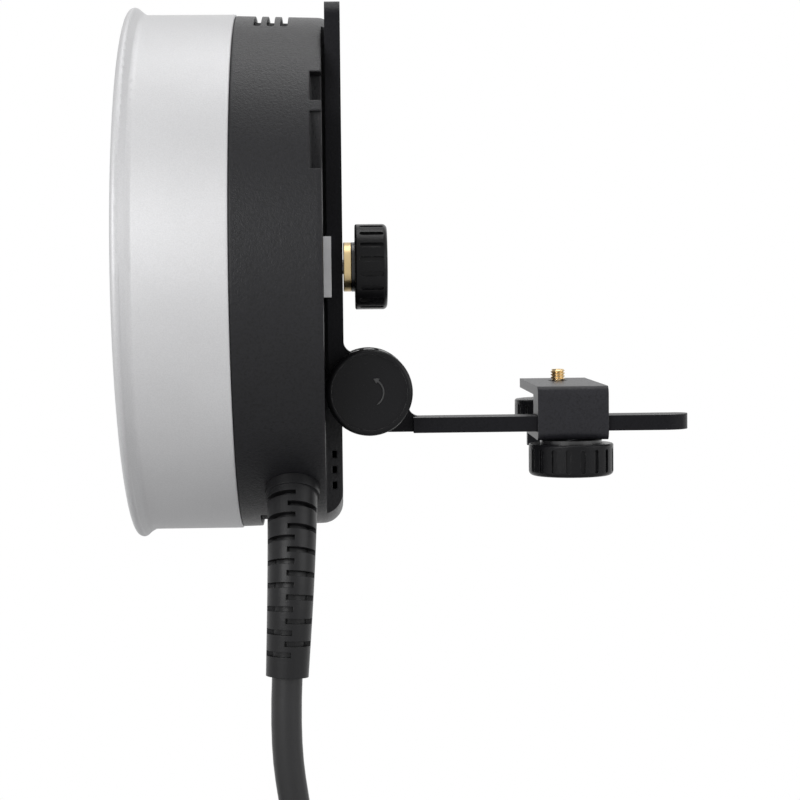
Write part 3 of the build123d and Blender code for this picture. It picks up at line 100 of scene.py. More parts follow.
@dataclass(frozen=True)
class NodeGraph:
    """Short calls for building a node tree."""

    tree: bpy.types.NodeTree

    def add(self, kind: str, **values: object) -> bpy.types.Node:
        """Add a node and set its properties and inputs.

        Args:
            kind: Node type name.
            values: Properties by name, or inputs by name with underscores for spaces.

        Returns:
            The new node.
        """
        node = self.tree.nodes.new(kind)
        for name, value in values.items():
            if hasattr(node, name):
                setattr(node, name, value)
            else:
                node.inputs[name.replace("_", " ")].default_value = value
        return node

    def link(self, source: object, target: Socket) -> None:
        """Join an output to an input, or set the input to a value.

        Args:
            source: Output socket or value.
            target: Input socket.
        """
        if isinstance(source, Socket):
            self.tree.links.new(source, target)
        else:
            target.default_value = source

    def mix(self, share: Socket, low: object, high: object) -> Socket:
        """Mix two colours.

        Args:
            share: Socket that gives the share of the second colour.
            low: First colour, as a value or a socket.
            high: Second colour, as a value or a socket.

        Returns:
            The mixed colour's socket.
        """
        node = self.add("ShaderNodeMix", data_type="RGBA")
        self.link(share, node.inputs[0])
        for value, socket in ((low, node.inputs[6]), (high, node.inputs[7])):
            self.link(value if isinstance(value, Socket) else (*value, 1.0), socket)
        return node.outputs[2]

    def spread(self, source: Socket, low: float, high: float, start: float = 0.0, end: float = 1.0) -> Socket:
        """Map a value from one range onto another, clamped.

        Args:
            source: Socket that gives the value.
            low: Result at start.
            high: Result at end.
            start: Lower end of the value's range.
            end: Upper end of the value's range.

        Returns:
            The mapped value's socket.
        """
        node = self.add("ShaderNodeMapRange", From_Min=start, From_Max=end, To_Min=low, To_Max=high)
        self.link(source, node.inputs["Value"])
        return node.outputs[0]

    def math(self, operation: str, first: object, second: object) -> Socket:
        """Do one sum on two values.

        Args:
            operation: Blender's name of the sum.
            first: First value or socket.
            second: Second value or socket.

        Returns:
            The result's socket.
        """
        node = self.add("ShaderNodeMath", operation=operation)
        self.link(first, node.inputs[0])
        self.link(second, node.inputs[1])
        return node.outputs[0]

    def noise(self, size: float, detail: float, stretch: Point = (1, 1, 1)) -> Socket:
        """Make noise of a given feature size in the object's own space.

        Args:
            size: Feature size in millimetres.
            detail: Octaves of the noise.
            stretch: Scale of each axis before the noise.

        Returns:
            The noise value's socket.
        """
        place = self.add("ShaderNodeTexCoord")
        mapping = self.add("ShaderNodeMapping", Scale=stretch)
        noise = self.add("ShaderNodeTexNoise", Scale=1.0 / (size * MM), Detail=detail)
        self.link(place.outputs["Object"], mapping.inputs["Vector"])
        self.link(mapping.outputs[0], noise.inputs["Vector"])
        return noise.outputs[0]


@dataclass(frozen=True)
class Finish:
    """A surface finish: colour, gloss, relief and the wear along edges. Lengths are in millimetres."""

    name: str
    colour: Colour
    roughness: float
    metallic: float = 0.0
    grain: Grain = Grain.PLAIN
    grain_size: float = 0.5
    grain_depth: float = 0.05
    mottle: float = 0.1
    # Share of painted shade that darkens the relief's low spots, standing in for shade in the grain's pits.
    pit_shade: float = 0.0
    mottle_size: float = 30.0
    gloss_spread: float = 0.05
    wear: float = 0.0
    wear_colour: Colour = (0.3, 0.3, 0.31)
    edge: float = 0.25
    specular: float = 0.5
    coat: float = 0.0
    transmission: float = 0.0
    ior: float = 1.5
    alpha: float = 1.0
    sheen: float = 0.0
    axis: TurnAxis = TurnAxis.Z
    centre: Point = (0.0, 0.0, 0.0)

    def relief(self, graph: NodeGraph) -> Socket:
        """Make the height of the finish's relief.

        Args:
            graph: Graph of the material.

        Returns:
            Socket that gives the height from 0 to 1.
        """
        if self.grain is Grain.BRUSHED:
            return graph.noise(self.grain_size, 2.0, BRUSH_STRETCH)
        if self.grain is Grain.TURNED:
            return self.turning_marks(graph)
        if self.grain is Grain.HAMMERED:
            place = graph.add("ShaderNodeTexCoord")
            facets = graph.add("ShaderNodeTexVoronoi", feature="SMOOTH_F1", Smoothness=0.4,
                               Scale=1.0 / (self.grain_size * MM))
            graph.link(place.outputs["Object"], facets.inputs["Vector"])
            return facets.outputs["Distance"]
        if self.grain is Grain.WOVEN:
            return self.weave(graph)
        fine = graph.noise(self.grain_size, 4.0)
        if self.grain in (Grain.MOULDED, Grain.POWDER):
            coarse = graph.noise(self.grain_size * COARSE_GRAIN, 1.5)
            return graph.math("ADD", graph.math("MULTIPLY", fine, GRAIN_WEIGHT),
                              graph.math("MULTIPLY", coarse, GRAIN_WEIGHT))
        return fine

    def turning_marks(self, graph: NodeGraph) -> Socket:
        """Make fine rings round the piece's own axis.

        Args:
            graph: Graph of the material.

        Returns:
            Socket that gives the height from 0 to 1.
        """
        place = graph.add("ShaderNodeTexCoord")
        shift = graph.add("ShaderNodeVectorMath", operation="SUBTRACT")
        shift.inputs[1].default_value = [part * MM for part in self.centre]
        parts = graph.add("ShaderNodeSeparateXYZ")
        graph.link(place.outputs["Object"], shift.inputs[0])
        graph.link(shift.outputs[0], parts.inputs[0])
        one, two = (parts.outputs[index] for index in self.axis.value)
        square = graph.math("ADD", graph.math("MULTIPLY", one, one), graph.math("MULTIPLY", two, two))
        radius = graph.math("SQRT", square, 0.0)
        wave = graph.math("SINE", graph.math("MULTIPLY", radius, 2 * pi / (self.grain_size * MM)), 0.0)
        rough = graph.noise(self.grain_size * 3, 2.0)
        return graph.math("ADD", graph.spread(wave, 0.0, RING_SHARE, -1.0, 1.0),
                          graph.math("MULTIPLY", rough, 1 - RING_SHARE))

    def weave(self, graph: NodeGraph) -> Socket:
        """Make crossing threads.

        Args:
            graph: Graph of the material.

        Returns:
            Socket that gives the height from 0 to 1.
        """
        place = graph.add("ShaderNodeTexCoord")
        parts = graph.add("ShaderNodeSeparateXYZ")
        graph.link(place.outputs["Object"], parts.inputs[0])
        threads = []
        for output in (graph.math("ADD", parts.outputs[0], parts.outputs[1]), parts.outputs[2]):
            turns = graph.math("MULTIPLY", output, 2 * pi / (self.grain_size * MM))
            threads.append(graph.spread(graph.math("SINE", turns, 0.0), 0.0, 1.0, -1.0, 1.0))
        return graph.math("MULTIPLY", threads[0], threads[1])

    def edge_mask(self, graph: NodeGraph, rounded: Socket) -> Socket:
        """Find the sharp edges, where the rounded normal leaves the true one.

        Args:
            graph: Graph of the material.
            rounded: Normal of the rounded edge.

        Returns:
            Socket that is 1 on worn edges and 0 elsewhere.
        """
        true_normal = graph.add("ShaderNodeNewGeometry").outputs["True Normal"]
        dot = graph.add("ShaderNodeVectorMath", operation="DOT_PRODUCT")
        graph.link(rounded, dot.inputs[0])
        graph.link(true_normal, dot.inputs[1])
        edge = graph.spread(dot.outputs["Value"], 1.0, 0.0, *EDGE_DOT)
        patchy = graph.spread(graph.noise(WEAR_PATCH, 4.0), 0.0, 1.0, *WEAR_NOISE)
        return graph.math("MULTIPLY", graph.math("MULTIPLY", edge, patchy), self.wear)

    def build(self) -> bpy.types.Material:
        """Build the material, or give the one already built.

        Returns:
            The material of this finish.
        """
        if self.name in BUILT:
            return BUILT[self.name]
        name = f"finish_{self.name}"
        if name in bpy.data.materials:
            raise ValueError(f"the packed model already has a material called {name}")
        material = BUILT[self.name] = bpy.data.materials.new(name)
        material.use_nodes = True
        graph = NodeGraph(material.node_tree)
        shader = material.node_tree.nodes["Principled BSDF"]
        plain = {"Metallic": self.metallic, "Specular IOR Level": self.specular, "Coat Weight": self.coat,
                 "Coat Roughness": COAT_ROUGHNESS, "Transmission Weight": self.transmission,
                 "IOR": self.ior, "Alpha": self.alpha, "Sheen Weight": self.sheen}
        for socket, value in plain.items():
            shader.inputs[socket].default_value = value
        patches = graph.noise(self.mottle_size, 4.0)
        dark = tuple(part * (1 - self.mottle) for part in self.colour)
        light = tuple(min(1.0, part * (1 + self.mottle)) for part in self.colour)
        colour = graph.mix(graph.spread(patches, 0.0, 1.0, *MOTTLE_NOISE), dark, light)
        height = self.relief(graph)
        # Painted shade: the low spots of the relief are darkened towards black, as if shade fell in the
        # grain's pits.
        if self.pit_shade > 0:
            pit_shade_mask = graph.spread(height, 1.0, 0.0, *PIT_SHADE_HEIGHT)
            colour = graph.mix(graph.math("MULTIPLY", pit_shade_mask, self.pit_shade), colour, (0.0, 0.0, 0.0))
        gloss = graph.spread(height, self.roughness + self.gloss_spread, self.roughness - self.gloss_spread)
        rounded = graph.add("ShaderNodeBevel", samples=BEVEL_SAMPLES, Radius=self.edge * MM).outputs[0]
        if self.wear > 0:
            worn = self.edge_mask(graph, rounded)
            colour = graph.mix(worn, colour, self.wear_colour)
        graph.link(colour, shader.inputs["Base Color"])
        graph.link(gloss, shader.inputs["Roughness"])
        bump = graph.add("ShaderNodeBump", Strength=1.0, Distance=self.grain_depth * MM)
        graph.link(height, bump.inputs["Height"])
        if self.transmission == 0:
            graph.link(rounded, bump.inputs["Normal"])
        graph.link(bump.outputs[0], shader.inputs["Normal"])
        return material


class Finishes:
    """All finishes of the head and its bracket."""

    # The darkened grain pits of the moulded, powder, block and silver finishes are painted shade.
    moulded_black = Finish(
        "moulded_black", (0.012, 0.012, 0.014), 0.40, grain=Grain.MOULDED, specular=0.27, grain_size=0.45,
        grain_depth=0.22, gloss_spread=0.10, pit_shade=0.6, edge=1.2)
    # Black screen behind the vents: painted shade that stands in for the dark inside of the housing seen
    # through the slots.
    screen_mesh = Finish(
        "screen_mesh", (0.012, 0.012, 0.013), 0.6, grain=Grain.WOVEN, specular=0.1, grain_size=0.9,
        grain_depth=0.2)
    satin_silver = Finish(
        "satin_silver", (0.64, 0.64, 0.65), 0.52, metallic=0.35, grain=Grain.SATIN, grain_depth=0.06,
        pit_shade=0.07, mottle=0.035, mottle_size=55.0, wear=0.3, wear_colour=(0.82, 0.82, 0.83), edge=0.3)
    hammered_bowl = Finish(
        "hammered_bowl", (0.80, 0.80, 0.81), 0.34, metallic=1.0, grain=Grain.HAMMERED, grain_size=2.6,
        grain_depth=0.09, mottle=0.02)
    clear_glass = Finish(
        "clear_glass", (0.90, 0.93, 0.94), 0.02, metallic=1.0, alpha=0.05, grain_size=30.0, grain_depth=0.002,
        mottle=0.01, gloss_spread=0.0)
    flash_quartz = Finish(
        "flash_quartz", (0.86, 0.75, 0.52), 0.12, transmission=0.25, ior=1.46, grain_size=6.0,
        grain_depth=0.02, mottle=0.02, gloss_spread=0.02)
    quartz = Finish(
        "quartz", (0.96, 0.96, 0.97), 0.04, transmission=1.0, ior=1.46, grain_size=6.0, grain_depth=0.02,
        mottle=0.01, gloss_spread=0.01)
    spring_steel = Finish("spring_steel", (0.55, 0.55, 0.57), 0.30, metallic=1.0, grain=Grain.BRUSHED)
    plated_steel = Finish(
        "plated_steel", (0.58, 0.58, 0.60), 0.28, metallic=1.0, grain=Grain.BRUSHED, grain_size=0.3,
        grain_depth=0.01, wear=0.4, wear_colour=(0.75, 0.75, 0.75))
    oxide_steel = Finish(
        "oxide_steel", (0.10, 0.10, 0.105), 0.32, metallic=1.0, grain=Grain.BRUSHED, grain_size=0.3,
        grain_depth=0.01, wear=0.4, wear_colour=(0.34, 0.34, 0.35))
    powder_black = Finish(
        "powder_black", (0.010, 0.010, 0.012), 0.38, grain=Grain.POWDER, specular=0.09, grain_size=0.4,
        grain_depth=0.12, pit_shade=0.4, wear=0.55, wear_colour=(0.16, 0.16, 0.17), edge=0.35)
    block_black = Finish(
        "block_black", (0.020, 0.020, 0.024), 0.38, grain=Grain.POWDER, specular=0.2, grain_size=0.45,
        grain_depth=0.16, pit_shade=0.5, wear=0.7, wear_colour=(0.22, 0.22, 0.23), edge=0.35)
    tunnel_black = Finish(
        "tunnel_black", (0.012, 0.012, 0.013), 0.62, grain=Grain.POWDER, grain_size=0.4, grain_depth=0.06)
    guide_silver = Finish(
        "guide_silver", (0.60, 0.60, 0.61), 0.42, metallic=0.55, grain=Grain.BRUSHED, grain_size=0.25,
        grain_depth=0.02, wear=0.3, wear_colour=(0.7, 0.7, 0.7))
    collar_brass = Finish(
        "collar_brass", (0.70, 0.54, 0.29), 0.30, metallic=1.0, grain=Grain.TURNED, grain_size=0.45,
        grain_depth=0.04, axis=TurnAxis.X, centre=(0.0, -50.0, 50.6), mottle=0.08, mottle_size=8.0)
    screw_brass = Finish(
        "screw_brass", (0.68, 0.51, 0.28), 0.28, metallic=1.0, grain=Grain.TURNED, grain_size=0.25,
        grain_depth=0.01, mottle_size=4.0)
    pad_brass = Finish("pad_brass", (0.66, 0.47, 0.22), 0.38, metallic=1.0, grain=Grain.BRUSHED)
    # The light grey along the ribs' edges is partly real wear and partly painted highlight on the rib edges.
    knob_black = Finish(
        "knob_black", (0.008, 0.008, 0.009), 0.27, grain=Grain.MOULDED, specular=0.14, grain_size=0.4,
        grain_depth=0.07, wear=0.8, wear_colour=(0.13, 0.13, 0.13), edge=0.3)
    knob_mark = Finish(
        "knob_mark", (0.034, 0.034, 0.035), 0.30, grain=Grain.MOULDED, grain_size=0.3, grain_depth=0.02)
    collar_black = Finish("collar_black", (0.02, 0.02, 0.021), 0.26, grain_depth=0.01, coat=0.2)
    nylon = Finish("nylon", (0.70, 0.69, 0.65), 0.5, grain=Grain.SATIN, grain_depth=0.02)
    ceramic = Finish("ceramic", (0.82, 0.81, 0.77), 0.32, grain=Grain.SATIN, grain_depth=0.02, coat=0.3)
    chassis_sheet = Finish(
        "chassis_sheet", (0.60, 0.60, 0.62), 0.34, metallic=1.0, grain=Grain.BRUSHED, grain_size=0.3,
        grain_depth=0.02)
    potting = Finish("potting", (0.07, 0.06, 0.05), 0.4, grain=Grain.SATIN, coat=0.3)
    glass_board = Finish(
        "glass_board", (0.03, 0.17, 0.07), 0.35, grain=Grain.WOVEN, grain_size=0.6, grain_depth=0.01,
        coat=0.4)
    film_sleeve = Finish("film_sleeve", (0.45, 0.10, 0.04), 0.3, grain=Grain.SATIN, coat=0.3)
    relief_rubber = Finish(
        "relief_rubber", (0.012, 0.012, 0.013), 0.38, grain=Grain.MOULDED, specular=0.22, wear=0.15,
        wear_colour=(0.08, 0.08, 0.08), edge=0.4)
    sheath_rubber = Finish(
        "sheath_rubber", (0.020, 0.020, 0.021), 0.42, grain=Grain.SATIN, specular=0.3, grain_size=0.8,
        mottle=0.15)
    strap_weave = Finish(
        "strap_weave", (0.022, 0.022, 0.024), 0.85, grain=Grain.WOVEN, grain_size=1.1, grain_depth=0.25,
        sheen=0.4)
    hook_tape = Finish(
        "hook_tape", (0.035, 0.035, 0.037), 0.75, grain=Grain.WOVEN, grain_size=0.7, grain_depth=0.35,
        sheen=0.2)
    plug_shell = Finish(
        "plug_shell", (0.02, 0.02, 0.021), 0.40, grain=Grain.MOULDED, wear=0.3,
        wear_colour=(0.09, 0.09, 0.09))
    gold_plate = Finish(
        "gold_plate", (0.90, 0.66, 0.28), 0.22, metallic=1.0, grain=Grain.TURNED, grain_size=0.2,
        grain_depth=0.005)
    tungsten = Finish("tungsten", (0.45, 0.44, 0.43), 0.35, metallic=1.0, grain=Grain.SATIN)


def dress(nodes: dict[str, Finish]) -> None:
    """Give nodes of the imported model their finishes.

    Args:
        nodes: Finish of each node, by the node's name.
    """
    for node, finish in nodes.items():
        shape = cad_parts[node]
        material = finish.build()
        if shape.material_slots:
            for slot in shape.material_slots:
                slot.material = material
        else:
            shape.data.materials.append(material)
        LOG.info("dressed %s with %s", node, finish.name)


def make_piece(name: str, points: list[Point], faces: Faces, finish: Finish,
               body: str, crease: float = 35.0) -> bpy.types.Object:
    """Make a mesh piece that rides on a body.

    Args:
        name: Name of the piece.
        points: Corners in metres, in the model's frame.
        faces: Corner indices of each face.
        finish: Finish of the piece.
        body: Body that it rides on.
        crease: Angle in degrees above which an edge stays sharp.

    Returns:
        The new object.
    """
    mesh = bpy.data.meshes.new(name)
    mesh.from_pydata(points, [], faces)
    mesh.validate()
    mesh.polygons.foreach_set("use_smooth", [True] * len(mesh.polygons))
    mesh.set_sharp_from_angle(angle=radians(crease))
    mesh.materials.append(finish.build())
    piece = bpy.data.objects.new(name, mesh)
    bpy.context.scene.collection.objects.link(piece)
    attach(piece, body)
    LOG.info("made %s on %s", name, body)
    return piece


@dataclass
class FlashHead:
    """Ring head: housing, reflector, tube, lamps and what is inside."""

    lens_z: float = 49.0 * MM
    lamp_ring: float = 58.6 * MM
    lamp_back: float = -146.3 * MM
    lamp_angles: tuple[float, ...] = (0.0, 90.0, 180.0, 270.0)
    filament_radius: float = 1.0 * MM
    filament_length: float = 7.0 * MM
    filament_wire: float = 0.16 * MM
    filament_sides: int = 6
    filament_turns: int = 9
    filament_steps: int = 10
    filament_fill: float = 0.86
    filament_lift: float = 9.0 * MM
    nodes: ClassVar[dict[str, Finish]] = {
        "rear_housing": Finishes.moulded_black,
        "vent_screens": Finishes.screen_mesh,
        "reflector_skin": Finishes.satin_silver,
        "reflector_bowl": Finishes.hammered_bowl,
        "front_glass": Finishes.clear_glass,
        "glass_retainer": Finishes.spring_steel,
        "lens_tunnel": Finishes.tunnel_black,
        "flash_tube": Finishes.flash_quartz,
        "tube_electrodes": Finishes.plated_steel,
        "tube_terminals": Finishes.ceramic,
        "trigger_wire": Finishes.spring_steel,
        "tube_clips": Finishes.spring_steel,
        "modelling_lamps": Finishes.quartz,
        "lamp_sockets": Finishes.ceramic,
        "bowl_standoffs": Finishes.plated_steel,
        "chassis_plate": Finishes.chassis_sheet,
        "rear_screws": Finishes.oxide_steel,
        "trigger_transformer": Finishes.potting,
        "circuit_board": Finishes.glass_board,
        "trigger_capacitor": Finishes.film_sleeve,
        "terminal_block": Finishes.potting,
    }

    def build(self) -> None:
        """Dress the head's nodes and add the lamps' filaments."""
        dress(self.nodes)
        for index, angle in enumerate(self.lamp_angles):
            self.add_filament(index, angle)

    def add_filament(self, index: int, angle: float) -> None:
        """Add the coiled filament and its two leads inside one lamp.

        Args:
            index: Number of the lamp.
            angle: Place of the lamp round the lens axis, in degrees from the top.
        """
        a = radians(angle)
        outward = Vector((0.0, sin(a), cos(a)))
        along = Vector((0.0, cos(a), -sin(a)))
        start = Vector((self.lamp_back, 0, self.lens_z)) + outward * self.lamp_ring
        middle = start - Vector((self.filament_lift, 0, 0))
        lead = along * self.filament_radius * 2
        reach = along * (self.filament_length / 2)
        path = [start - lead, middle - reach]
        steps = self.filament_turns * self.filament_steps
        for step in range(steps + 1):
            turn = 2 * pi * self.filament_turns * step / steps
            shift = along * (self.filament_length * (step / steps - 0.5)) * self.filament_fill
            path.append(middle + shift + outward * (self.filament_radius * cos(turn))
                        + Vector((self.filament_radius * sin(turn), 0, 0)))
        path += [middle + reach, start + lead]
        points, faces = tube_mesh(path, self.filament_wire, self.filament_sides)
        make_piece(f"lamp_filament_{index}", points, faces, Finishes.tungsten, "head",
                   crease=60)


def stack_faces(rings: int, sides: int) -> Faces:
    """Give the faces of a body made of rings of corners, closed at both ends.

    Args:
        rings: Number of rings.
        sides: Corners in each ring.

    Returns:
        Corner indices of each face.
    """
    faces: Faces = []
    last = (rings - 1) * sides
    for low in range(0, last, sides):
        for side in range(sides):
            after = (side + 1) % sides
            faces.append((low + side, low + after, low + sides + after, low + sides + side))
    return [*faces, tuple(reversed(range(sides))), tuple(range(last, last + sides))]


def tube_mesh(path: list[Vector], radius: float, sides: int) -> tuple[list[Point], Faces]:
    """Make a round tube along a path.

    Args:
        path: Points that the tube follows.
        radius: Radius of the tube.
        sides: Corners round the tube.

    Returns:
        Corners and faces of the tube, with closed ends.
    """
    points: list[Point] = []
    across = Vector((0.31, 0.22, 0.92))  # any direction off the path's first stretch
    for index, spot in enumerate(path):
        ahead = path[min(index + 1, len(path) - 1)] - path[max(index - 1, 0)]
        ahead.normalize()
        across = (across - ahead * across.dot(ahead)).normalized()
        other = ahead.cross(across)
        for side in range(sides):
            turn = 2 * pi * side / sides
            points.append(tuple(spot + (across * cos(turn) + other * sin(turn)) * radius))
    return points, stack_faces(len(path), sides)


@dataclass
class ClampBar:
    """Slotted upright bar with its guide, insert and clamp knob."""

    nodes: ClassVar[dict[str, Finish]] = {
        "upright_bar": Finishes.powder_black,
        "bar_guide": Finishes.guide_silver,
        "clamp_insert": Finishes.pad_brass,
        "clamp_knob": Finishes.knob_black,
        "clamp_brass_collar": Finishes.collar_brass,
        "clamp_black_collar": Finishes.collar_black,
        "clamp_stud": Finishes.plated_steel,
    }

    def build(self) -> None:
        """Dress the bar's nodes."""
        dress(self.nodes)


@dataclass
class Hinge:
    """Folding hinge with its locking knob, whose face carries a turning arrow. Angles are in degrees."""

    centre: Point = (-85.0 * MM, -72.4 * MM, -1.0 * MM)
    arrow_radius: float = 5.8 * MM
    arrow_width: float = 0.75 * MM
    arrow_height: float = 0.45 * MM
    arrow_start: float = -60.0
    arrow_end: float = 53.0
    arrow_steps: int = 24
    arrow_bevel: float = 0.12 * MM
    arrow_sink: float = 0.05 * MM
    crown_share: float = 0.4
    tail_share: float = 0.35
    tail_growth: float = 6.0
    head_width: float = 2.6 * MM
    head_sweep: float = 22.0
    head_gap: float = 0.01
    head_steps: int = 6
    head_tip: float = 0.05 * MM
    nodes: ClassVar[dict[str, Finish]] = {
        "hinge_knob": Finishes.knob_black,
        "hinge_knob_base": Finishes.collar_black,
        "hinge_bolt": Finishes.plated_steel,
        "hinge_nut": Finishes.plated_steel,
        "hinge_washer": Finishes.nylon,
    }

    def build(self) -> None:
        """Dress the hinge's nodes and add the arrow."""
        dress(self.nodes)
        self.add_arrow()

    def spot(self, radius: float, angle: float, lift: float) -> Point:
        """Give a point over the knob's face.

        Args:
            radius: Distance from the knob's axis.
            angle: Angle in degrees from +X towards +Z.
            lift: Height over the dish.

        Returns:
            The point in the model's frame.
        """
        x, y, z = self.centre
        a = radians(angle)
        return (x + radius * cos(a), y - lift, z + radius * sin(a))

    def arrow_rows(self) -> list[tuple[float, float]]:
        """Give the arrow's rows from its thin tail to the tip of its head.

        Returns:
            The angle in degrees and the half width of each row.
        """
        rows = []
        for step in range(self.arrow_steps + 1):
            share = step / self.arrow_steps
            angle = self.arrow_start + (self.arrow_end - self.arrow_start) * share
            rows.append((angle, self.arrow_width / 2 * min(1.0, self.tail_share + self.tail_growth * share)))
        rows.append((self.arrow_end + self.head_gap, self.head_width / 2))
        for step in range(1, self.head_steps + 1):
            share = step / self.head_steps
            half = self.head_width / 2 * (1 - share) + self.head_tip
            rows.append((self.arrow_end + self.head_sweep * share, half))
        return rows

    def add_arrow(self) -> None:
        """Add the raised arc with its head, moulded on the knob's face."""
        rows = self.arrow_rows()
        points: list[Point] = []
        faces: Faces = []
        for index, (angle, wide) in enumerate(rows):
            inner = max(wide - self.arrow_bevel, wide * self.crown_share)
            outline = ((-wide, -self.arrow_sink), (-inner, self.arrow_height),
                       (inner, self.arrow_height), (wide, -self.arrow_sink))
            points += [self.spot(self.arrow_radius + aside, angle, lift) for aside, lift in outline]
            if index:
                low = (index - 1) * 4
                for side in range(3):
                    faces.append((low + side, low + side + 4, low + side + 5, low + side + 1))
        faces.append((0, 1, 2, 3))
        last = (len(rows) - 1) * 4
        faces.append((last + 3, last + 2, last + 1, last))
        make_piece("hinge_knob_arrow", points, faces, Finishes.knob_mark, "hinge_knob",
                   crease=25)


@dataclass
class CameraBracket:
    """Arm, sliding block, its two knobs and the threaded camera screw."""

    screw_top: float = 5.0 * MM
    thread_radius: float = 3.175 * MM
    root_radius: float = 2.55 * MM
    shank_radius: float = 2.5 * MM
    shank_foot: float = -5.4 * MM
    shank_top: float = -0.05 * MM
    screw_sides: int = 48
    thread_pitch: float = 1.27 * MM
    thread_rows: int = 12
    thread_root: float = 0.12
    thread_flank: float = 0.72
    thread_run_in: float = 0.5
    tip_chamfer: float = 0.7 * MM
    socket_radius: float = 1.3 * MM
    socket_depth: float = 1.6 * MM
    nodes: ClassVar[dict[str, Finish]] = {
        "bracket_arm": Finishes.powder_black,
        "camera_block": Finishes.block_black,
        "captive_washer": Finishes.plated_steel,
        "camera_knob": Finishes.knob_black,
        "camera_screw": Finishes.screw_brass,
        "arm_knob": Finishes.knob_black,
        "arm_knob_base": Finishes.collar_black,
        "arm_stud": Finishes.plated_steel,
        "pressure_pad": Finishes.pad_brass,
    }

    def build(self) -> None:
        """Dress the bracket's nodes and cut the camera screw's thread."""
        dress(self.nodes)
        self.add_threaded_screw()

    def thread_at(self, z: float, turn: float) -> float:
        """Give the screw's radius at a height and an angle.

        Args:
            z: Height over the platform.
            turn: Share of a turn round the screw.

        Returns:
            The radius in metres.
        """
        phase = (z / self.thread_pitch - turn) % 1.0
        ridge = 1 - abs(phase * 2 - 1)
        ridge = min(1.0, max(0.0, (ridge - self.thread_root) / self.thread_flank))
        start = min(1.0, max(0.0, z / (self.thread_run_in * self.thread_pitch)))
        radius = self.root_radius + (self.thread_radius - self.root_radius) * ridge * start
        limit = self.thread_radius - max(0.0, z - (self.screw_top - self.tip_chamfer))
        return min(radius, limit)

    def add_threaded_screw(self) -> None:
        """Add the brass screw: thread, relieved shank and a hexagon socket in its end."""
        around = self.screw_sides
        heights = [self.shank_foot, self.shank_top]
        rise = self.thread_pitch / self.thread_rows
        heights += [rise * index for index in range(int(self.screw_top / rise) + 1)]
        heights.append(self.screw_top)
        points: list[Point] = []
        for z in heights:
            for side in range(around):
                turn = side / around
                radius = self.shank_radius if z < 0 else self.thread_at(z, turn)
                points.append((radius * cos(2 * pi * turn), radius * sin(2 * pi * turn), z))
        for depth in (0.0, self.socket_depth):
            for side in range(around):
                turn = 2 * pi * side / around
                flat = cos(pi / 6) / cos((turn % (pi / 3)) - pi / 6)
                radius = self.socket_radius * flat
                points.append((radius * cos(turn), radius * sin(turn), self.screw_top - depth))
        screw = make_piece("threaded_camera_screw", points, stack_faces(len(heights) + 2, around),
                           Finishes.screw_brass, "camera_knob", crease=40)
        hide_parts("camera_screw")


def ramp(place: float, start: float) -> float:
    """Give a value that grows evenly from 0 at a start to 1 at 1.

    Args:
        place: Where to read it, from 0 to 1.
        start: Where it begins to grow.

    Returns:
        The value.
    """
    return max(0.0, place - start) / (1 - start)


@dataclass(frozen=True)
class StrapEnd:
    """Closed end of a strap, a thin tongue with a rounded tip. Lengths are in millimetres."""

    reach: float = 17.0
    thick: float = 1.1
    rows: int = 9
    columns: int = 14
    width_share: float = 0.96
    sink: float = 0.1
    taper: float = 0.22
    taper_from: float = 0.8
    edge_drop: float = 0.45
    tip_drop: float = 0.5
    tip_from: float = 0.85
    curl: float = 0.9
    curl_from: float = 0.86

    def faces(self) -> Faces:
        """Give the tongue's faces: underside, top and the rim between them.

        Returns:
            Corner indices of each face.
        """
        faces: Faces = []
        stride = self.rows + 1
        total = stride * (self.columns + 1)
        for column in range(self.columns):
            for row in range(self.rows):
                a = column * stride + row
                quad = (a, a + 1, a + stride + 1, a + stride)
                faces.append(quad)
                faces.append(tuple(total + index for index in reversed(quad)))
        rim_line = list(range(stride))
        rim_line += [column * stride + self.rows for column in range(1, self.columns + 1)]
        rim_line += [self.columns * stride + row for row in range(self.rows - 1, -1, -1)]
        rim_line += [column * stride for column in range(self.columns - 1, 0, -1)]
        for index, corner in enumerate(rim_line):
            after = rim_line[(index + 1) % len(rim_line)]
            faces.append((corner, total + corner, total + after, after))
        return faces


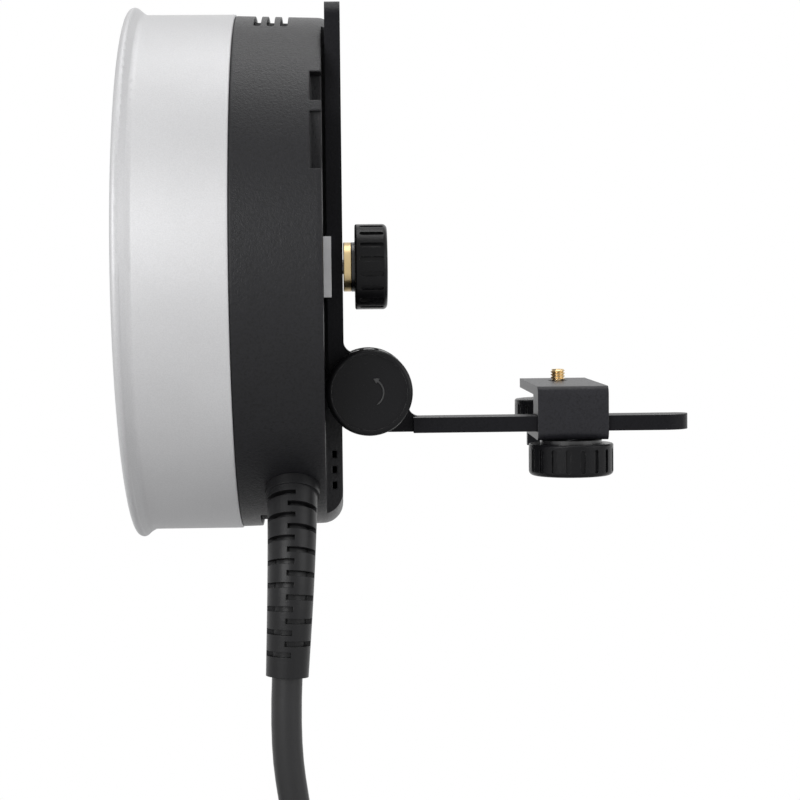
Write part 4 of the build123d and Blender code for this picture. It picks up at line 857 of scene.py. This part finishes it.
@dataclass
class CableRun:
    """Bend relief, cable with its put-away coil, the two straps and the plug.

    The cable's diameter and length are in metres, its route and the straps in millimetres. strap_sides
    and end_middles give the strap where the cable enters first, and the one beside the plug second.
    strap_ripples gives each wave's height, rate and start.
    """

    diameter: float = 12.4 * MM
    length: float = 3.130
    hanging: tuple[Point, ...] = (
        (-119.69, -87.16, -114.39),
        (-121.05, -88.72, -140.31),
        (-116.6, -88.6, -172.0),
        (-111.2, -88.9, -206.0),
        (-110.5, -88.5, -237.6),
        (-110.5, -88.5, -269.6),
    )
    coil_centre: tuple[float, float] = (-208.2, -282.0)
    coil_outer: float = 97.7
    coil_step: float = 7.9
    coil_layers: tuple[float, float] = (-88.5, -74.5)
    half_turns: int = 13
    inward_halves: float = 6.0
    outward_from: float = 7.0
    points_per_half: int = 8
    strap_span: tuple[float, float] = (-293.0, -273.0)
    strap_sides: tuple[tuple[float, float], ...] = ((-159.7, -102.0), (-314.4, -256.7))
    strap_thick: float = 1.8
    strap_gap: float = 6.6
    strap_round: float = 4.0
    strap_round_steps: int = 6
    strap_spacing: float = 1.6
    strap_bevel: float = 0.5
    strap_ripples: tuple[tuple[float, float, float], ...] = ((0.15, 1.7, 0.0), (0.1, 0.6, 1.0))
    strap_end: StrapEnd = StrapEnd()
    end_middles: tuple[float, float] = (-130.0, -286.0)
    nodes: ClassVar[dict[str, Finish]] = {
        "strain_relief": Finishes.relief_rubber,
        "gland_nut": Finishes.collar_black,
        "cable": Finishes.sheath_rubber,
        "cable_coil": Finishes.sheath_rubber,
        "coil_straps": Finishes.strap_weave,
        "plug_boot": Finishes.relief_rubber,
        "plug_body": Finishes.plug_shell,
        "plug_pins": Finishes.gold_plate,
        "plug_ring": Finishes.plug_shell,
    }

    def build(self) -> None:
        """Dress the nodes, lay the cable and tie its coil."""
        dress(self.nodes)
        straps = [self.add_strap("coil_strap_entry", True), self.add_strap("coil_strap_plug", False)]
        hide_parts("coil_straps")
        self.add_cable()

    def coil_radius(self, halves: float) -> float:
        """Give the coil's radius after a number of half turns.

        Args:
            halves: Half turns from the coil's entry.

        Returns:
            The radius in millimetres.
        """
        inward = min(halves, self.inward_halves)
        outward = max(0.0, halves - self.outward_from)
        return self.coil_outer + self.coil_step * (outward - inward)

    def coil_points(self) -> list[Point]:
        """Give the coil's turns in two layers, inward on the near and outward on the far one.

        The spline passes each point at 3/4 of it and 1/8 of either neighbour, so it runs inside them.
        They stand out by as much.

        Returns:
            Points in millimetres.
        """
        centre_x, centre_z = self.coil_centre
        near, far = self.coil_layers
        cut = 0.75 + 0.25 * cos(pi / self.points_per_half)
        points = []
        for step in range(self.half_turns * self.points_per_half + 1):
            halves = step / self.points_per_half
            radius = self.coil_radius(halves) / cut
            share = min(1.0, max(0.0, halves - self.inward_halves))
            layer = near + (far - near) * share * share * (3 - 2 * share)
            points.append((centre_x + radius * cos(pi * halves), layer, centre_z - radius * sin(pi * halves)))
        return points

    def add_cable(self) -> None:
        """Lay the cable as one smooth spline from the relief to the plug.
        """
        coil = self.coil_points()
        plug_end = (self.coil_centre[0] - self.coil_outer, coil[-1][1], self.hanging[-1][2])
        route = [*self.hanging, *coil, plug_end]
        curve = bpy.data.curves.new("power_cable", "CURVE")
        curve.dimensions = "3D"
        curve.resolution_u = 5
        curve.bevel_depth = self.diameter / 2
        curve.bevel_resolution = 6
        curve.use_fill_caps = True
        spline = curve.splines.new("NURBS")
        spline.points.add(len(route) - 1)
        for point, (x, y, z) in zip(spline.points, route):
            point.co = (x * MM, y * MM, z * MM, 1.0)
        spline.order_u = 3
        spline.use_endpoint_u = True
        curve.materials.append(Finishes.sheath_rubber.build())
        cable = bpy.data.objects.new("power_cable", curve)
        bpy.context.scene.collection.objects.link(cable)
        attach(cable, "head")
        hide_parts("cable", "cable_coil")
        LOG.info("laid the cable with %d points", len(route))

    def strap_loop(self, entry: bool) -> list[tuple[float, float]]:
        """Give the strap's centre line round the turns on one side of the coil.

        Args:
            entry: Whether it is the side where the cable enters.

        Returns:
            Points (x, y) in millimetres, in order round the loop.
        """
        low, high = self.strap_sides[0 if entry else 1]
        half = self.strap_thick / 2
        y0 = self.coil_layers[0] - self.strap_gap - half
        y1 = self.coil_layers[1] + self.strap_gap + half
        bend = self.strap_round
        corners = ((high, y1, 0.0), (low, y1, 90.0), (low, y0, 180.0), (high, y0, 270.0))
        loop = []
        for x, y, start in corners:
            centre_x = x + (-bend if x == high else bend)
            centre_y = y + (-bend if y == y1 else bend)
            for step in range(self.strap_round_steps + 1):
                a = radians(start + 90 / self.strap_round_steps * step)
                loop.append((centre_x + bend * cos(a), centre_y + bend * sin(a)))
        dense = []
        for index, (x, y) in enumerate(loop):
            after_x, after_y = loop[(index + 1) % len(loop)]
            pieces = max(1, int(((after_x - x) ** 2 + (after_y - y) ** 2) ** 0.5 / self.strap_spacing))
            for step in range(pieces):
                share = step / pieces
                dense.append((x + (after_x - x) * share, y + (after_y - y) * share))
        return dense

    def add_strap(self, name: str, entry: bool) -> bpy.types.Object:
        """Add one woven strap with its hook-and-loop end.

        Args:
            name: Name of the strap.
            entry: Whether it is the side where the cable enters.

        Returns:
            The strap's object.
        """
        loop = self.strap_loop(entry)
        low_z, high_z = self.strap_span
        mid_z = (low_z + high_z) / 2
        low_edge, high_edge = low_z + self.strap_bevel, high_z - self.strap_bevel
        half = self.strap_thick / 2
        flat = half * 0.5
        profile = ((-half, low_edge), (-flat, low_z), (flat, low_z), (half, low_edge), (half, mid_z),
                   (half, high_edge), (flat, high_z), (-flat, high_z), (-half, high_edge), (-half, mid_z))
        points: list[Point] = []
        faces: Faces = []
        count, sides = len(loop), len(profile)
        for index in range(count):
            before = Vector(loop[index - 1])
            after = Vector(loop[(index + 1) % count])
            ahead = (after - before).normalized()
            outward = Vector((ahead.y, -ahead.x))
            ripple = sum(height * sin(index * rate + start) for height, rate, start in self.strap_ripples)
            for away, z in profile:
                spot = Vector(loop[index]) + outward * away
                points.append((spot.x * MM, spot.y * MM, (z + ripple) * MM))
            low, high = index * sides, (index + 1) % count * sides
            for side in range(sides):
                after_side = (side + 1) % sides
                faces.append((low + side, high + side, high + after_side, low + after_side))
        strap = make_piece(name, points, faces, Finishes.strap_weave, "head", crease=60)
        self.add_strap_end(name, entry)
        return strap

    def add_strap_end(self, name: str, entry: bool) -> None:
        """Add the strap's closed end, which lies on its lens side.

        Args:
            name: Name of the strap.
            entry: Whether it is the side where the cable enters.
        """
        end = self.strap_end
        middle, side = (self.end_middles[0], 1) if entry else (self.end_middles[1], -1)
        base_y = self.coil_layers[1] + self.strap_gap + self.strap_thick
        low_z, high_z = self.strap_span
        points: list[Point] = []
        for level in (0.0, 1.0):
            for column in range(end.columns + 1):
                u = column / end.columns
                curl = end.curl * ramp(u, end.curl_from) - end.sink
                for row in range(end.rows + 1):
                    v = row / end.rows * 2 - 1
                    tip = 1 - end.taper * ramp(u, end.taper_from) * abs(v) ** 3
                    rim = (1 - abs(v) ** 6) * (1 - ramp(u, end.tip_from) * end.tip_drop)
                    x = middle + (u - 0.5) * 2 * end.reach * tip * side
                    y = base_y + level * end.thick * (1 - end.edge_drop + end.edge_drop * rim) + curl
                    z = (low_z + high_z) / 2 + v * (high_z - low_z) / 2 * end.width_share
                    points.append((x * MM, y * MM, z * MM))
        make_piece(f"{name}_end", points, end.faces(), Finishes.hook_tape, "head", crease=50)


@dataclass(frozen=True)
class Softbox:
    """A square soft light that faces the head: place and side in metres, power in watts."""

    name: str
    place: Point
    side: float
    power: float


@dataclass
class Studio:
    """Pale floor, soft lights, white surroundings and the camera of the photograph."""

    floor_z: float = -424.0 * MM
    floor_half: float = 6.0
    floor_colour: Colour = (0.86, 0.86, 0.86)
    floor_roughness: float = 0.7
    shadow_centre: tuple[float, float] = (-0.07, 0.0)
    shadow_fade: tuple[float, float] = (0.3, 0.75)
    camera_at: Point = (-97.2 * MM, -895.0 * MM, 39.8 * MM)
    yaw: float = 1.715
    pitch: float = -3.057
    roll: float = 0.6
    focal_px: float = 2016.0
    frame_px: float = 800.0
    sensor_width: float = 36.0
    clip_start: float = 0.01
    fill: float = 0.18
    aim_at: Point = (-0.08, 0.0, 0.02)
    softboxes: tuple[Softbox, ...] = (
        Softbox("front_softbox", (-0.9, -1.35, 0.5), 0.9, 13.8),
        Softbox("top_softbox", (0.0, 0.15, 1.35), 0.7, 4.5),
        Softbox("rear_softbox", (1.2, -0.75, 0.45), 1.0, 6.0),
    )

    def build(self) -> None:
        """Set up the floor, the world, the lights and the camera."""
        self.add_floor()
        self.add_world()
        for softbox in self.softboxes:
            self.add_light(softbox)
        self.add_camera()
        bpy.context.scene.view_settings.view_transform = "Standard"

    def add_floor(self) -> None:
        """Add the floor, which keeps the shadow near the object and is white further out."""
        mesh = bpy.data.meshes.new("studio_floor")
        corners = [(x * self.floor_half, y * self.floor_half, self.floor_z)
                   for x, y in ((-1, -1), (1, -1), (1, 1), (-1, 1))]
        mesh.from_pydata(corners, [], [(0, 1, 2, 3)])
        floor = bpy.data.objects.new("studio_floor", mesh)
        bpy.context.scene.collection.objects.link(floor)
        material = bpy.data.materials.new("studio_floor")
        material.use_nodes = True
        graph = NodeGraph(material.node_tree)
        shader = material.node_tree.nodes["Principled BSDF"]
        shader.inputs["Base Color"].default_value = (*self.floor_colour, 1.0)
        shader.inputs["Roughness"].default_value = self.floor_roughness
        output = material.node_tree.nodes["Material Output"]
        white = graph.add("ShaderNodeEmission", Color=WHITE, Strength=1.0)
        place = graph.add("ShaderNodeTexCoord")
        centre = graph.add("ShaderNodeVectorMath", operation="DISTANCE")
        centre.inputs[1].default_value = (*self.shadow_centre, self.floor_z)
        graph.link(place.outputs["Object"], centre.inputs[0])
        far = graph.spread(centre.outputs["Value"], 0.0, 1.0, *self.shadow_fade)
        share = graph.math("MULTIPLY", far, self.seen_directly(graph))
        blend = graph.add("ShaderNodeMixShader")
        graph.link(share, blend.inputs[0])
        graph.link(shader.outputs[0], blend.inputs[1])
        graph.link(white.outputs[0], blend.inputs[2])
        graph.link(blend.outputs[0], output.inputs["Surface"])
        mesh.materials.append(material)

    def seen_directly(self, graph: NodeGraph) -> Socket:
        """Tell a ray that shows the background from one that lights a surface.

        Args:
            graph: Graph of the floor or the world.

        Returns:
            Socket that is 1 for camera, glossy and transmission rays.
        """
        rays = graph.add("ShaderNodeLightPath")
        seen = graph.math("MAXIMUM", rays.outputs["Is Camera Ray"], rays.outputs["Is Glossy Ray"])
        return graph.math("MAXIMUM", seen, rays.outputs["Is Transmission Ray"])

    def add_world(self) -> None:
        """Make the surroundings white to look at and a soft fill to light by."""
        world = bpy.data.worlds.new("studio")
        world.use_nodes = True
        world.node_tree.nodes.clear()
        graph = NodeGraph(world.node_tree)
        soft = graph.add("ShaderNodeBackground", Color=WHITE, Strength=self.fill)
        white = graph.add("ShaderNodeBackground", Color=WHITE, Strength=1.0)
        blend = graph.add("ShaderNodeMixShader")
        output = graph.add("ShaderNodeOutputWorld")
        graph.link(self.seen_directly(graph), blend.inputs[0])
        graph.link(soft.outputs[0], blend.inputs[1])
        graph.link(white.outputs[0], blend.inputs[2])
        graph.link(blend.outputs[0], output.inputs["Surface"])
        bpy.context.scene.world = world

    def add_light(self, softbox: Softbox) -> None:
        """Add a softbox that faces the head.

        Args:
            softbox: The light to add.
        """
        data = bpy.data.lights.new(softbox.name, "AREA")
        data.size = softbox.side
        data.energy = softbox.power
        lamp = bpy.data.objects.new(softbox.name, data)
        lamp.location = softbox.place
        aim = Vector(self.aim_at) - Vector(softbox.place)
        lamp.rotation_euler = aim.to_track_quat("-Z", "Y").to_euler()
        bpy.context.scene.collection.objects.link(lamp)

    def add_camera(self) -> None:
        """Set the camera at the photograph's place and turn."""
        yaw, pitch, roll = radians(self.yaw), radians(self.pitch), radians(self.roll)
        ahead = Vector((sin(yaw) * cos(pitch), cos(yaw) * cos(pitch), sin(pitch)))
        right = ahead.cross(Vector((0, 0, 1))).normalized()
        up = right.cross(ahead)
        lean_right = right * cos(roll) - up * sin(roll)
        lean_up = up * cos(roll) + right * sin(roll)
        turn = Matrix((lean_right, lean_up, -ahead)).transposed()
        data = bpy.data.cameras.new("photo_camera")
        data.sensor_width = self.sensor_width
        data.lens = self.focal_px / self.frame_px * data.sensor_width
        data.clip_start = self.clip_start
        camera = bpy.data.objects.new("photo_camera", data)
        camera.matrix_world = Matrix.Translation(self.camera_at) @ turn.to_4x4()
        bpy.context.scene.collection.objects.link(camera)
        bpy.context.scene.camera = camera


def main() -> None:
    """Build the studio, then each sub-assembly in order."""
    logging.basicConfig(level=logging.INFO, format="%(name)s: %(message)s")
    for part in (Studio(), CableRun(), FlashHead(), ClampBar(), Hinge(), CameraBracket()):
        LOG.info("building %s", type(part).__name__)
        part.build()


if __name__ == "__main__":
    main()
